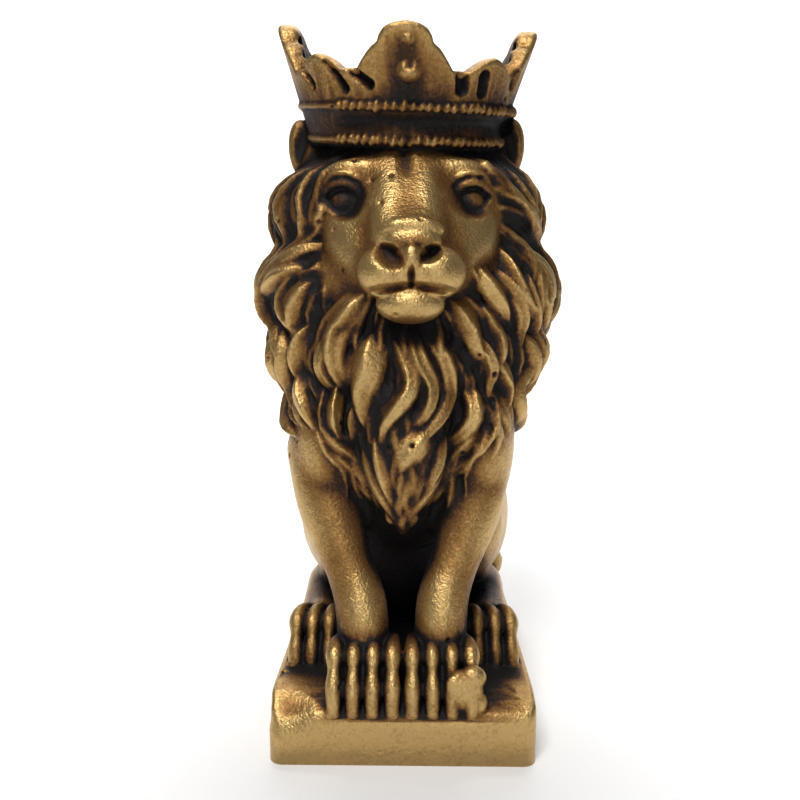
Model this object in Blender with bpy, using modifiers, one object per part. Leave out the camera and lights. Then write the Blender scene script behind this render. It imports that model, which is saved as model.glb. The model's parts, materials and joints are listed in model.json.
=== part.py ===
"""A seated lion wearing a crown, cast in one piece with its low plinth.

The origin is the middle of the underside, +Z is up and the lion looks along -Y. Left and right are the viewer's.
"""

import math
import random
from functools import cache

import bmesh
import bpy
import numpy as np
from mathutils import Euler, Matrix, Vector
from mathutils.bvhtree import BVHTree

# Plinth, in metres
PLINTH_WIDTH = 0.076
PLINTH_DEPTH = 0.112
PLINTH_HEIGHT = 0.019
PLINTH_CORNER = 0.004
PLINTH_ROUNDING = 0.0015
FRONT_SLOPE_DROP = 0.0068
FRONT_SLOPE_DEPTH = 0.013
CUT_ALLOWANCE = 0.004

# Figure. Its pose and carving are given in steps of a two-hundredth of its height over the plinth.
FIGURE_HEIGHT = 0.200
STEP = FIGURE_HEIGHT / 200
PAW_SINK = 0.001

# Crown, a flared ring with four fleurons and four small points round an open hollow
CROWN_RADIUS = 0.0295
CROWN_WALL = 0.0044
CROWN_THICKENING = 0.07
CROWN_FLARE = 0.317
CROWN_SKIRT = 0.0015
BAND_HEIGHT = 0.0089
ROLL_RADIUS = 0.0015
HOLLOW_FLOOR = 0.0068
VALLEY_HEIGHT = 0.0185
FRONT_FLEURON_HEIGHT = 0.0300
FLEURON_HEIGHT = 0.0325
FLEURON_WIDTH = 0.0292
POINT_HEIGHT = 0.0225
POINT_WIDTH = 0.0172
GEM_RADIUS = 0.0030
CROWN_TILT = math.radians(11)
CROWN_ROLL = math.radians(1.8)

# A fleuron's edge: how far out, as a share of half its width, and how far below its top, as a share of its width
FLEURON_OUT = (0, 0.22, 0.38, 0.47, 0.50, 0.63, 0.74, 0.84, 0.93, 1.0)
FLEURON_DROP = (0, 0.02, 0.05, 0.12, 0.17, 0.21, 0.27, 0.33, 0.38, 0.46)

# Mane
LOCK_LENGTH = 27 * STEP
LOCK_WIDTH = 3.7 * STEP
LOCK_RELIEF = 5.0 * STEP
LOCK_SPACING = 8.8 * STEP
MANE_SEED = 7

# Grain of the model: the clay is fused on a grid and then thinned to flat facets
CLAY_GRAIN = 0.0014
CLAY_SOFTENING = 21
CARVING_GRAIN = 0.0009
FACETS = 9500

BRONZE = (0.42, 0.255, 0.10, 1.0)


def place(x, y, z):
    """A point of the figure, from steps right, back and up from the middle of its footprint."""
    return Vector((x * STEP, y * STEP, z * STEP + PLINTH_HEIGHT - PAW_SINK))


def clamp(value, low=0.0, high=1.0):
    return max(low, min(high, value))


def clear_scene():
    for obj in list(bpy.data.objects):
        bpy.data.objects.remove(obj, do_unlink=True)


def new_object(name, mesh):
    obj = bpy.data.objects.new(name, mesh)
    bpy.context.scene.collection.objects.link(obj)
    return obj


def baked(obj):
    """The object's mesh with its modifiers applied; the object itself is removed."""
    graph = bpy.context.evaluated_depsgraph_get()
    mesh = bpy.data.meshes.new_from_object(obj.evaluated_get(graph))
    bpy.data.objects.remove(obj, do_unlink=True)
    return mesh


# Clay: lumps, limbs and lofted rings


@cache
def unit_ball(fineness):
    """The points and faces of a unit ball made of even triangles."""
    work = bmesh.new()
    bmesh.ops.create_icosphere(work, subdivisions=fineness, radius=1)
    points = [vert.co.copy() for vert in work.verts]
    faces = [tuple(vert.index for vert in face.verts) for face in work.faces]
    work.free()
    return points, faces


def add_ball(clay, matrix, fineness=4):
    points, faces = unit_ball(fineness)
    made = [clay.verts.new(matrix @ point) for point in points]
    for face in faces:
        clay.faces.new([made[k] for k in face])


def add_lump(clay, centre, radii, tilt=(0, 0, 0)):
    """An ellipsoid; centre and radii in steps, tilt in degrees about X, Y and Z."""
    turn = Euler([math.radians(angle) for angle in tilt]).to_matrix().to_4x4()
    size = Matrix.Diagonal([radius * STEP for radius in radii]).to_4x4()
    add_ball(clay, Matrix.Translation(place(*centre)) @ turn @ size)


def add_loft(clay, rings, closed=False):
    """Skins a row of rings; unless the last one joins the first, the two ends get caps."""
    made = [[clay.verts.new(point) for point in ring] for ring in rings]
    size = len(made[0])
    for low, high in zip(made, made[1:] + made[:1] if closed else made[1:]):
        for k in range(size):
            clay.faces.new((low[k], low[(k + 1) % size], high[(k + 1) % size], high[k]))
    if not closed:
        clay.faces.new(made[0])
        clay.faces.new(made[-1])


def smooth_route(points, count):
    """Evenly numbered points on a Catmull-Rom curve through the given ones, radii and all."""
    ends = [2 * points[0] - points[1], *points, 2 * points[-1] - points[-2]]
    spans = len(points) - 1
    route = []
    for k in range(count):
        at = k / (count - 1) * spans
        i = min(int(at), spans - 1)
        t = at - i
        a, b, c, d = ends[i : i + 4]
        bend = (2 * a - 5 * b + 4 * c - d) * t**2 + (3 * b - a - 3 * c + d) * t**3
        route.append(0.5 * (2 * b + (c - a) * t + bend))
    return route


def add_strand(clay, centres, normals, widths, heights, sides=16):
    """A closed solid swept along centres, as wide as 2 widths and standing heights above and below its line."""
    rings = []
    last = len(centres) - 1
    for i, centre in enumerate(centres):
        along = (centres[min(i + 1, last)] - centres[max(i - 1, 0)]).normalized()
        across = normals[i].cross(along).normalized()
        up = along.cross(across).normalized()
        ring = []
        for k in range(sides):
            angle = 2 * math.pi * k / sides
            ring.append(centre + across * (widths[i] * math.cos(angle)) + up * (heights[i] * math.sin(angle)))
        rings.append(ring)
    add_loft(clay, rings)


def add_limb(clay, stations, count=18):
    """A round tapered limb through stations of (x, y, z, radius) in steps, with rounded ends."""
    route = smooth_route([np.array(station, float) for station in stations], count)
    centres = [place(*point[:3]) for point in route]
    radii = [point[3] * STEP for point in route]
    spine = (centres[-1] - centres[0]).normalized()
    side = Vector((1, 0, 0)) if abs(spine.x) < 0.8 else Vector((0, 0, 1))
    add_strand(clay, centres, [side] * count, radii, radii)
    for centre, radius in ((centres[0], radii[0]), (centres[-1], radii[-1])):
        add_ball(clay, Matrix.Translation(centre) @ Matrix.Scale(radius, 4), fineness=3)


def fused(clay, name, grain, passes):
    """One closed skin over everything in the clay, softened by a number of smoothing passes."""
    bmesh.ops.recalc_face_normals(clay, faces=clay.faces)
    mesh = bpy.data.meshes.new(name)
    clay.to_mesh(mesh)
    clay.free()
    obj = new_object(name, mesh)
    remesh = obj.modifiers.new("Fuse", "REMESH")
    remesh.mode = "VOXEL"
    remesh.voxel_size = grain
    soften = obj.modifiers.new("Soften", "SMOOTH")
    soften.factor = 0.5
    soften.iterations = passes
    return baked(obj)


# The lion's body, built of lumps in steps


def add_torso(clay):
    add_lump(clay, (0, -12, 68), (26, 24, 36))
    add_lump(clay, (0, 14, 34), (27, 30, 36))
    add_lump(clay, (0, 12, 70), (25, 27, 44), (-14, 0, 0))
    add_lump(clay, (0, 28, 26), (28, 23, 26))


def add_mane_mass(clay):
    """The soft mass that the locks lie on, down to the tip of the mane on the chest."""
    add_lump(clay, (0.9, -8, 115), (45.1, 31, 28))
    add_lump(clay, (0.7, -5, 138), (42.2, 31, 22))
    add_lump(clay, (1, 1, 150), (33, 31, 18))
    add_lump(clay, (0.6, -11, 96), (40.9, 28, 20))
    add_lump(clay, (0, 16, 104), (31, 19, 40))
    chest = [(0, -22.5, 88, 17.5), (0, -30.5, 74, 13.5), (0, -36, 61, 8.5), (0, -39, 50, 4), (0, -40, 45, 2)]
    add_limb(clay, chest)


def add_hindquarters(clay, side):
    """The folded hind leg: thigh, shin running back to the heel, and the foot flat on the plinth."""
    add_lump(clay, (side * 23, 12, 38), (13.5, 28, 23), (-12, 0, 0))
    add_lump(clay, (side * 23, -7, 39), (10, 12, 13))
    add_limb(clay, [(side * 24, -6, 33, 8.5), (side * 24, 8, 19, 6.5), (side * 27, 22, 9, 7.5)])
    add_limb(clay, [(side * 29, 24, 7, 7.5), (side * 28, -6, 7, 7), (side * 26.5, -18, 8, 7.5)])
    add_lump(clay, (side * 25.5, -22.5, 4.5), (9.5, 9, 7.5))


def add_foreleg(clay, side):
    """A foreleg, from the shoulder to the paw; both lean a little to the left at the top."""
    lean = -1.5
    add_lump(clay, (side * 22.5, -20, 70), (12, 17, 27))
    upper = [(23.5, -20, 66, 12), (21.3, -27, 49, 10.1), (15.9, -34, 34, 7.6)]
    lower = [(12.2, -38, 24, 8), (11.4, -41, 15, 8), (11, -42, 8, 7.5)]
    add_limb(clay, [(lean * z / 66 + side * x, y, z, radius) for x, y, z, radius in upper + lower])
    add_lump(clay, (side * 11.2, -43.5, 4.5), (10.6, 9, 8))


def add_toes(clay, side, offsets, front, lift):
    """Slender toes side by side, each with a round knuckle, a waist, a pad and a small claw."""
    for offset in offsets:
        x = side * offset
        toe = [
            (x * 0.94, front + 14, 13.0 + lift, 1.7),
            (x * 0.98, front + 9, 13.6 + lift, 2.2),
            (x, front + 5.6, 11.6 + lift, 2.7),
            (x, front + 3.4, 8.2 + lift, 1.9),
            (x, front + 1.6, 4.4 + lift, 2.5),
            (x, front + 0.2, 0.6, 1.9),
            (x, front - 0.2, -2.2 + lift, 1.4),
        ]
        add_limb(clay, toe, count=20)


def add_spill(clay):
    """The lump of resin that a flaw of the mould left over the outer toes of the right paw."""
    add_lump(clay, (17.0, -54.2, 3.4), (5.8, 2.8, 6.6), (0, 6, 0))
    add_lump(clay, (19.6, -53.6, 7.2), (4.0, 2.8, 3.6))
    add_lump(clay, (21.4, -54.2, -0.4), (2.6, 2.0, 3.4), (0, 12, 0))


def add_tail(clay):
    """The tail leaves the rump and curls to the right behind the haunch, with a tuft at its end."""
    curl = [(0, 44, 16, 6), (8, 49, 7, 4.6), (20, 48, 5, 4.2), (29, 41, 6, 4.4), (32, 33, 12, 5.6), (31, 31, 21, 2)]
    add_limb(clay, curl)


# Head

EYES = ((-1, -16.7), (1, 18.7))
EYE_DEPTH = -29.8
EYE_HEIGHT = 140.3


def add_head(clay):
    """The softened forms of the head: skull, face, bridge of the nose, cheeks and jaw."""
    add_lump(clay, (1, -12, 142), (26, 25, 22))
    add_lump(clay, (2, -20, 137), (28.5, 16.5, 20))
    add_lump(clay, (2.2, -27, 121), (19, 14, 12))
    add_lump(clay, (0.8, -27, 147), (16, 9, 9))
    for side in (-1, 1):
        bridge = [(4.4, -28.5, 149, 5.8), (4.2, -35.5, 140, 6.4), (4.6, -43.5, 130, 5.8)]
        add_limb(clay, [(1.3 + side * x, y, z, radius) for x, y, z, radius in bridge])
        cheek = [(19.5, -22.5, 136, 8.5), (14.5, -28, 129.5, 11), (8.5, -34.5, 122, 10.5)]
        add_limb(clay, [(2 + side * x, y, z, radius) for x, y, z, radius in cheek])
        add_lump(clay, (2 + side * 15, -22, 128), (12, 12, 13), (0, side * 25, 0))
        add_lump(clay, (2 + side * 10, -29.5, 133), (8, 11.8, 12.5), (0, side * 15, 0))
        add_lump(clay, (2.3 + side * 6.5, -43.6, 119.6), (8.6, 8.6, 7.8), (0, 0, side * 14))
    for side, middle in EYES:
        brow = [(-9, 0.2, 8.0, 2.6), (-4, -0.8, 9.6, 2.9), (3, 1.0, 9.2, 2.7), (9.5, 4.6, 5.4, 2.0)]
        add_limb(clay, [by_eye(middle, side, *station) for station in brow])
    add_limb(clay, [(1.3, -27.5, 149, 6), (1.4, -34.6, 140, 6.5), (2.4, -43, 130, 6)])
    add_lump(clay, (2.5, -43.4, 130.4), (9.6, 7.0, 5.4), (-30, 0, 0))
    add_lump(clay, (2.3, -41, 120), (14.5, 11.5, 9))


def by_eye(middle, side, x, y, z, radius):
    """A station given about the middle of an eye, as one on the figure."""
    return (middle + side * x, EYE_DEPTH + y, EYE_HEIGHT + z, radius)


def carve_sockets(mesh):
    """Hollows for the eyes, pressed into the softened head before the eyes are laid in them."""
    points = mesh_points(mesh)
    for side, middle in EYES:
        press(points, (middle, -33, EYE_HEIGHT), (9.6, 6.8, 10), 5.4, side * 0.45)
    set_mesh_points(mesh, points)


def add_face_details(clay):
    """Whisker pads, nose, chin, eyes, lids, brows and ears, laid on the softened head."""
    inner, outer = (-6.8, -0.2, -3.4, 1.1), (7.2, 1.8, 1.8, 1.2)
    upper = [inner, (-4.9, -1.6, 1.0, 1.1), (-1.6, -2.6, 4.3, 1.2), (2.8, -1.8, 4.8, 1.2), outer]
    lower = [inner, (-4.6, -1.2, -5.6, 1.7), (-0.6, -1.6, -5.8, 1.9), (3.8, -0.2, -3.6, 1.7), outer]
    for side, middle in EYES:
        add_lump(clay, (2.3 + side * 6.8, -45.0, 119.8), (8.2, 7.6, 7.2), (0, 0, side * 14))
        add_lump(clay, (middle, EYE_DEPTH + 2.2, EYE_HEIGHT), (5.0, 4.4, 4.3))
        for lid in (upper, lower):
            add_limb(clay, [by_eye(middle, side, *station) for station in lid])
        add_lump(clay, (0.5 + side * 32.6, -5, 159), (4.6, 4.5, 9.5), (0, side * 6, side * -20))
        add_lump(clay, (0.5 + side * 26.5, -4, 155), (8, 8, 9))
    add_lump(clay, (2.5, -46.4, 131.0), (8.8, 4.4, 3.2), (-35, 0, 0))
    add_lump(clay, (2.7, -47.4, 127.8), (7.8, 3.8, 4.6))
    add_lump(clay, (2.9, -49.9, 124.7), (4.8, 2.4, 1.7))
    add_lump(clay, (2.4, -51.2, 123.4), (2.4, 2.6, 4.0))
    add_lump(clay, (2.0, -43.5, 111.2), (9.6, 7.5, 5.6))
    add_lump(clay, (2.0, -46.9, 112.9), (7.6, 3.4, 2.8))


# Crown


def crest_height(arc):
    """The crest's height at a distance round the ring, measured from the front at the band's own radius."""
    quarter = math.pi / 2 * CROWN_RADIUS
    spread = 1 + CROWN_FLARE * VALLEY_HEIGHT / CROWN_RADIUS
    near = abs(math.remainder(arc, quarter)) * spread
    between = abs(near - quarter / 2 * spread)
    top = FRONT_FLEURON_HEIGHT if abs(arc) < quarter / 2 else FLEURON_HEIGHT
    drop = FLEURON_WIDTH * float(np.interp(2 * near / FLEURON_WIDTH, FLEURON_OUT, FLEURON_DROP))
    height = max(VALLEY_HEIGHT, top - drop)
    if between < POINT_WIDTH / 2:
        rise = (POINT_HEIGHT - VALLEY_HEIGHT) * (1 - (2 * between / POINT_WIDTH) ** 1.5)
        height = max(height, VALLEY_HEIGHT + rise)
    return height


def crown_radius(height):
    return CROWN_RADIUS + CROWN_FLARE * height


def crown_inner_radius(height):
    return crown_radius(height) - CROWN_WALL - CROWN_THICKENING * height


def crown_frame():
    """From the crown's own frame, with Z up through its ring, to where it sits on the head."""
    turn = Euler((CROWN_TILT, CROWN_ROLL, 0)).to_matrix().to_4x4()
    return Matrix.Translation(place(0, -6, 162)) @ turn


def add_crown(clay, columns=200, rows=16):
    """The cup-shaped ring: up its outer face, over the crest and down inside to the hollow's floor."""
    frame = crown_frame()
    rings = []
    for row in range(2 * rows + 2):
        inside = row > rows
        share = (row if not inside else 2 * rows + 1 - row) / rows
        foot = HOLLOW_FLOOR if inside else -CROWN_SKIRT
        ring = []
        for column in range(columns):
            angle = 2 * math.pi * column / columns
            arc = math.remainder(angle, 2 * math.pi) * CROWN_RADIUS
            height = foot + (crest_height(arc) - foot) * share
            radius = crown_inner_radius(height) if inside else crown_radius(height)
            ring.append(frame @ Vector((radius * math.sin(angle), -radius * math.cos(angle), height)))
        rings.append(ring)
    add_loft(clay, rings)
    for height in (0, BAND_HEIGHT):
        add_roll(clay, frame, height)
    for back in (0, math.pi):
        boss = Matrix.Rotation(back, 4, "Z") @ Matrix.Translation((0, GEM_RADIUS / 3 - crown_radius(0.018), 0.018))
        add_ball(clay, frame @ boss @ Matrix.Scale(GEM_RADIUS, 4), fineness=3)


def add_roll(clay, frame, height, columns=96, sides=8):
    """A half-round moulding that runs round the band."""
    rings = []
    for column in range(columns):
        angle = 2 * math.pi * column / columns
        ring = []
        for k in range(sides):
            turn = 2 * math.pi * k / sides
            radius = crown_radius(height) + ROLL_RADIUS * math.cos(turn)
            point = Vector((radius * math.sin(angle), -radius * math.cos(angle), height + ROLL_RADIUS * math.sin(turn)))
            ring.append(frame @ point)
        rings.append(ring)
    add_loft(clay, rings, closed=True)


# Mane. A place on it is an arc, in steps round it from the front, and a height, in steps up the figure.

FACE_CENTRE = (2.5, 131.0)
FACE_RADII = (35.0, 27.0)
MANE_AXIS_Y = -8.0
MANE_GIRTH = 40.0
FRONT_ARC = 44.0
FRONT_TOP = 120.0

# The locks under the face: arc and height of the root, length, half the width, and headings from root to tip in
# degrees from straight down, positive to the right
FRONT_LOCKS = (
    (-9.8, 103, 30, 5.4, (-25, -5, -12, 8, 28)),
    (-3.0, 99, 36, 3.2, (32, 12, -38, -42, -5, 6)),
    (3.6, 102, 32, 3.4, (18, 30, -10, -48, -52)),
    (6.8, 107, 48, 3.3, (22, 46, 16, -25, -45, -55, -58)),
    (16.5, 112, 24, 4.0, (60, 15, 38)),
    (21.5, 94, 34, 3.3, (38, 12, -24, -42, -39)),
    (-13.2, 114, 36, 4.8, (-56, -42, -4, 15, 27)),
    (-33, 117.5, 27, 4.0, (-60, -24, 17, 31)),
    (-37, 122, 23, 4.6, (-80, -58, -56)),
    (-61, 125, 18, 4.0, (-15, 5, 30)),
    (-61, 108, 17, 4.0, (-10, 20, 57)),
    (-40, 95, 23, 3.2, (-16, 35, 19)),
    (-26.5, 89, 19, 2.8, (5, 10, 18)),
    (25, 121, 22, 3.4, (36, 42, 41)),
    (43, 127, 31, 4.0, (65, 20, -10, -45)),
    (60, 123, 19, 4.0, (32, 0, -35)),
    (43, 104, 27, 4.2, (45, 6, -40)),
    (31, 97, 20, 3.0, (46, 20, -24)),
    (8.6, 77, 19, 4.5, (-46, -35, -10)),
    (20, 69, 29, 3.0, (-50, -45, -27)),
    (-17, 73, 31, 2.8, (33, 33, 26)),
    (-9.2, 75, 25, 2.6, (13, 18, 21)),
    (14.5, 76, 25, 2.8, (-9, -32, -38)),
)


def hem_height(arc):
    """The lowest height that a lock may start from."""
    return 66 + 22 * min(1.0, abs(arc) / 34) ** 1.3


def top_height(arc):
    """The highest height that a lock may start from: just under the tilted crown."""
    return 161 - 6 * math.cos(arc / MANE_GIRTH)


def flow(arc, height):
    """The hair's heading there, in radians from straight down: it leaves the face and waves down to the tip."""
    across = arc - FACE_CENTRE[0]
    up = height - FACE_CENTRE[1]
    away = math.hypot(across / FACE_RADII[0], up / FACE_RADII[1])
    outwards = clamp(math.atan2(across, -up), -1.9, 1.9) * clamp(1.7 - away) * 0.75
    gather = -0.55 * clamp(arc / 36, -1, 1) * clamp((104 - height) / 30) * max(0.0, 1 - abs(arc) / 60)
    wave = 0.5 * math.sin(2 * math.pi * height / 34 + 0.09 * abs(arc) + 1.2)
    return outwards + gather + wave


def lock_layout():
    """(arc, height, length, width, curl of the tip) for each lock outside the front, from the back to the face."""
    dice = random.Random(MANE_SEED)
    spacing = LOCK_SPACING / STEP
    layout = []
    for row in range(16):
        reach = 1 + row * spacing
        radii = (FACE_RADII[0] + reach, FACE_RADII[1] + reach)
        count = int(math.pi * (radii[0] + radii[1]) / spacing)
        for k in range(count):
            bearing = 2 * math.pi * (k + 0.5 * (row % 2) + dice.uniform(-0.15, 0.15)) / count - math.pi
            jaw = 1 - 0.15 * max(0.0, math.cos(bearing))
            arc = FACE_CENTRE[0] + radii[0] * jaw * math.sin(bearing)
            height = FACE_CENTRE[1] - radii[1] * math.cos(bearing)
            size = dice.uniform(0.85, 1.15)
            curl = dice.choice((-1, 1)) * dice.uniform(0.5, 1.1)
            bare_brow = abs(arc) < 31 and height > 139
            hairy = abs(arc) < math.pi * MANE_GIRTH and hem_height(arc) < height < top_height(arc)
            if hairy and not bare_brow and not (abs(arc) < FRONT_ARC and height < FRONT_TOP):
                layout.append((arc, height, LOCK_LENGTH / STEP * size, LOCK_WIDTH * size, curl))
    return layout[::-1]


def flowing_route(arc, height, length, curl, count=11):
    """Points (arc, height) down a lock that follows the flow and curls at its tip."""
    route = []
    for k in range(count):
        route.append((arc, height))
        turn = flow(arc, height) + curl * (k / (count - 1)) ** 2
        arc += length / (count - 1) * math.sin(turn)
        height -= length / (count - 1) * math.cos(turn)
    return route


def headed_route(arc, height, length, headings, count=13):
    """Points (arc, height) down a lock whose headings are given at even stations."""
    stations = np.linspace(0, 1, len(headings))
    route = []
    for k in range(count):
        route.append((arc, height))
        turn = math.radians(float(np.interp(k / (count - 1), stations, headings)))
        arc += length / (count - 1) * math.sin(turn)
        height -= length / (count - 1) * math.cos(turn)
    return route


def on_mane(skin, arc, height):
    """The point of the skin and its outward direction at a place on the mane, or None where there is no skin."""
    angle = arc / MANE_GIRTH
    outward = Vector((math.sin(angle), -math.cos(angle), 0))
    start = place(0, MANE_AXIS_Y, height) + outward * 100 * STEP
    found = skin.ray_cast(start, -outward)
    return None if found[0] is None else (found[0], (found[1] + outward * 0.5).normalized())


def add_lock(clay, skin, route, width):
    """A lock like a curled leaf: its root is sunk in the mane and its belly stands proud of it."""
    spots = [spot for spot in (on_mane(skin, *point) for point in route) if spot]
    count = len(spots)
    if count < 6:
        return
    centres, normals, widths, heights = [], [], [], []
    for k, (point, normal) in enumerate(spots):
        share = k / (count - 1)
        swell = math.sin(math.pi * (0.12 + 0.85 * share**0.8)) ** 0.85
        rise = math.sin(math.pi * min(1.0, 0.9 * share)) * 0.55 - 0.25
        centres.append(point + normal * LOCK_RELIEF * rise)
        normals.append(normal)
        widths.append(width * swell)
        heights.append(LOCK_RELIEF * 0.72 * swell)
    add_strand(clay, centres, normals, widths, heights, sides=12)


def add_locks(clay, skin):
    for arc, height, length, width, curl in lock_layout():
        add_lock(clay, skin, flowing_route(arc, height, length, curl), width)
    for arc, height, length, width, headings in FRONT_LOCKS:
        add_lock(clay, skin, headed_route(arc, height, length, headings), width * STEP)


# Plinth


def plinth_ring(inset):
    """Points round the plinth's rounded outline, drawn in by a distance; its long sides have more of them."""
    radius = max(PLINTH_CORNER - inset, PLINTH_CORNER * 0.2)
    half_width, half_depth = PLINTH_WIDTH / 2 - inset, PLINTH_DEPTH / 2 - inset
    ring = []
    for corner, (sx, sy) in enumerate(((1, 1), (-1, 1), (-1, -1), (1, -1))):
        for k in range(9):
            angle = math.pi / 2 * (corner + k / 8)
            x = sx * (half_width - radius) + radius * math.cos(angle)
            ring.append((x, sy * (half_depth - radius) + radius * math.sin(angle)))
        if corner in (1, 3):
            x, start = ring[-1]
            ring.extend((x, start * (1 - k / 12)) for k in range(1, 24))
    return ring


def plinth_top(inset, y):
    """The top's height: level, but curved down to the front edge and eased along every edge."""
    into_slope = max(0.0, 1 - (y + PLINTH_DEPTH / 2) / FRONT_SLOPE_DEPTH)
    drop = FRONT_SLOPE_DROP * (1 - math.sqrt(max(0.0, 1 - into_slope**2)))
    ease = max(0.0, 1 - inset / PLINTH_ROUNDING)
    return PLINTH_HEIGHT - drop - PLINTH_ROUNDING * (1 - math.sqrt(1 - ease**2))


def add_plinth(clay):
    """A block with rounded corners and a sloped front; it runs below the floor and is cut there."""
    insets = [PLINTH_ROUNDING * (1 - math.cos(math.pi / 2 * k / 5)) for k in range(6)]
    insets += [PLINTH_ROUNDING + (PLINTH_WIDTH * 0.42 - PLINTH_ROUNDING) * k / 8 for k in range(1, 9)]
    rings = [[Vector((x, y, -CUT_ALLOWANCE)) for x, y in plinth_ring(0)]]
    rings += [[Vector((x, y, plinth_top(inset, y))) for x, y in plinth_ring(inset)] for inset in insets]
    add_loft(clay, rings)


# Carving: the tool presses into the skin


def mesh_points(mesh):
    points = np.empty(len(mesh.vertices) * 3, np.float32)
    mesh.vertices.foreach_get("co", points)
    return points.reshape(-1, 3).astype(float)


def set_mesh_points(mesh, points):
    mesh.vertices.foreach_set("co", points.astype(np.float32).ravel())
    mesh.update()


def press(points, centre, radii, depth, turn=0.0):
    """Pushes the skin back round a centre, in steps, over an oval that is turned about the viewing axis."""
    away = (points - np.array(place(*centre))) / STEP
    cosine, sine = math.cos(turn), math.sin(turn)
    across = away[:, 0] * cosine + away[:, 2] * sine
    up = -away[:, 0] * sine + away[:, 2] * cosine
    far = (across / radii[0]) ** 2 + (up / radii[1]) ** 2 + (away[:, 1] / radii[2]) ** 2
    strength = np.clip(1 - far, 0, 1) ** 1.5 * depth * STEP
    points += np.array((0.0, 1.0, 0.0)) * strength[:, None]


def carve_face(mesh):
    """Nostrils, mouth, the cleft of the lip and the furrow of the forehead."""
    points = mesh_points(mesh)
    press(points, (-3.8, -49, 123.6), (5.2, 3.8, 8), 4.2, -0.7)
    press(points, (7.6, -49, 124.4), (4.0, 2.8, 8), 3.8, 0.45)
    for side in (-1, 1):
        press(points, (2.3 + side * 6.0, -49, 115.4), (9.0, 1.6, 12), 2.6, side * -0.16)
    press(points, (2.3, -51, 118.6), (1.3, 4.4, 9), 2.8)
    press(points, (0.4, -38, 153.5), (3.4, 8, 10), 1.8)
    set_mesh_points(mesh, points)


def cut_flat(mesh):
    """Cuts the plinth off at the floor, so that the underside is one flat face."""
    work = bmesh.new()
    work.from_mesh(mesh)
    everything = [*work.verts, *work.edges, *work.faces]
    cut = bmesh.ops.bisect_plane(
        work, geom=everything, plane_co=(0, 0, 0), plane_no=(0, 0, -1), clear_outer=True, dist=1e-6
    )
    rim = [edge for edge in cut["geom_cut"] if isinstance(edge, bmesh.types.BMEdge)]
    bmesh.ops.edgeloop_fill(work, edges=rim)
    bmesh.ops.triangulate(work, faces=work.faces)
    bmesh.ops.recalc_face_normals(work, faces=work.faces)
    work.to_mesh(mesh)
    work.free()


def thinned(mesh, name, facets):
    """The mesh brought down to a number of facets, most of them kept where it curves."""
    obj = new_object(name, mesh)
    mesh.calc_loop_triangles()
    thin = obj.modifiers.new("Thin", "DECIMATE")
    thin.ratio = min(1.0, facets / len(mesh.loop_triangles))
    thin.use_collapse_triangulate = True
    return baked(obj)


def bronze_paint():
    material = bpy.data.materials.new("antique_gold")
    material.use_nodes = True
    shader = material.node_tree.nodes["Principled BSDF"]
    shader.inputs["Base Color"].default_value = BRONZE
    shader.inputs["Metallic"].default_value = 0.8
    shader.inputs["Roughness"].default_value = 0.42
    return material


def build_body():
    """The lion's softened forms under the details, with hollows for the eyes."""
    clay = bmesh.new()
    add_torso(clay)
    add_mane_mass(clay)
    add_head(clay)
    for side in (-1, 1):
        add_hindquarters(clay, side)
        add_foreleg(clay, side)
    body = fused(clay, "body_clay", CLAY_GRAIN, CLAY_SOFTENING)
    carve_sockets(body)
    return body


def build_lion():
    clay = bmesh.new()
    clay.from_mesh(build_body())
    skin = BVHTree.FromBMesh(clay)
    add_face_details(clay)
    for side in (-1, 1):
        add_toes(clay, side, (2.9, 8.5, 14.0, 19.4), front=-55, lift=0)
        add_toes(clay, side, (17.8, 23.0, 28.3, 33.2), front=-33, lift=0.6)
    add_spill(clay)
    add_tail(clay)
    add_crown(clay)
    add_locks(clay, skin)
    add_plinth(clay)
    whole = fused(clay, "carved_clay", CARVING_GRAIN, passes=2)
    carve_face(whole)

    whole = thinned(whole, "thinned_clay", FACETS)
    cut_flat(whole)
    whole.name = "lion_statue"
    statue = new_object("lion_statue", whole)
    statue.data.materials.clear()
    statue.data.materials.append(bronze_paint())
    statue.data.shade_smooth()
    statue.data.set_sharp_from_angle(angle=math.radians(50))
    return statue


def main():
    clear_scene()
    collection = bpy.data.collections.new("crowned_lion_statue")
    bpy.context.scene.collection.children.link(collection)
    statue = build_lion()
    bpy.context.scene.collection.objects.unlink(statue)
    collection.objects.link(statue)


main()
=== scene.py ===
"""Dresses the crowned lion statue: one cast piece in antique gold, with a dark wash left in its hollows and
painted shade where shade falls between its parts.

The piece keeps the form of the CAD solid that it stands for and adds the finer relief: the sculpted face,
the combed locks, the beaded crown and the marks of the casting. Lengths are metres. Places on the figure
are steps, where a step is a two-hundredth of the figure's height over the plinth. Left and right are the
viewer's.
"""

import json
import logging
import math
import random
from dataclasses import dataclass, field
from enum import Enum
from functools import cache

import bmesh
import bpy
import numpy as np
from mathutils import Euler, Matrix, Vector
from mathutils.bvhtree import BVHTree

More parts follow.
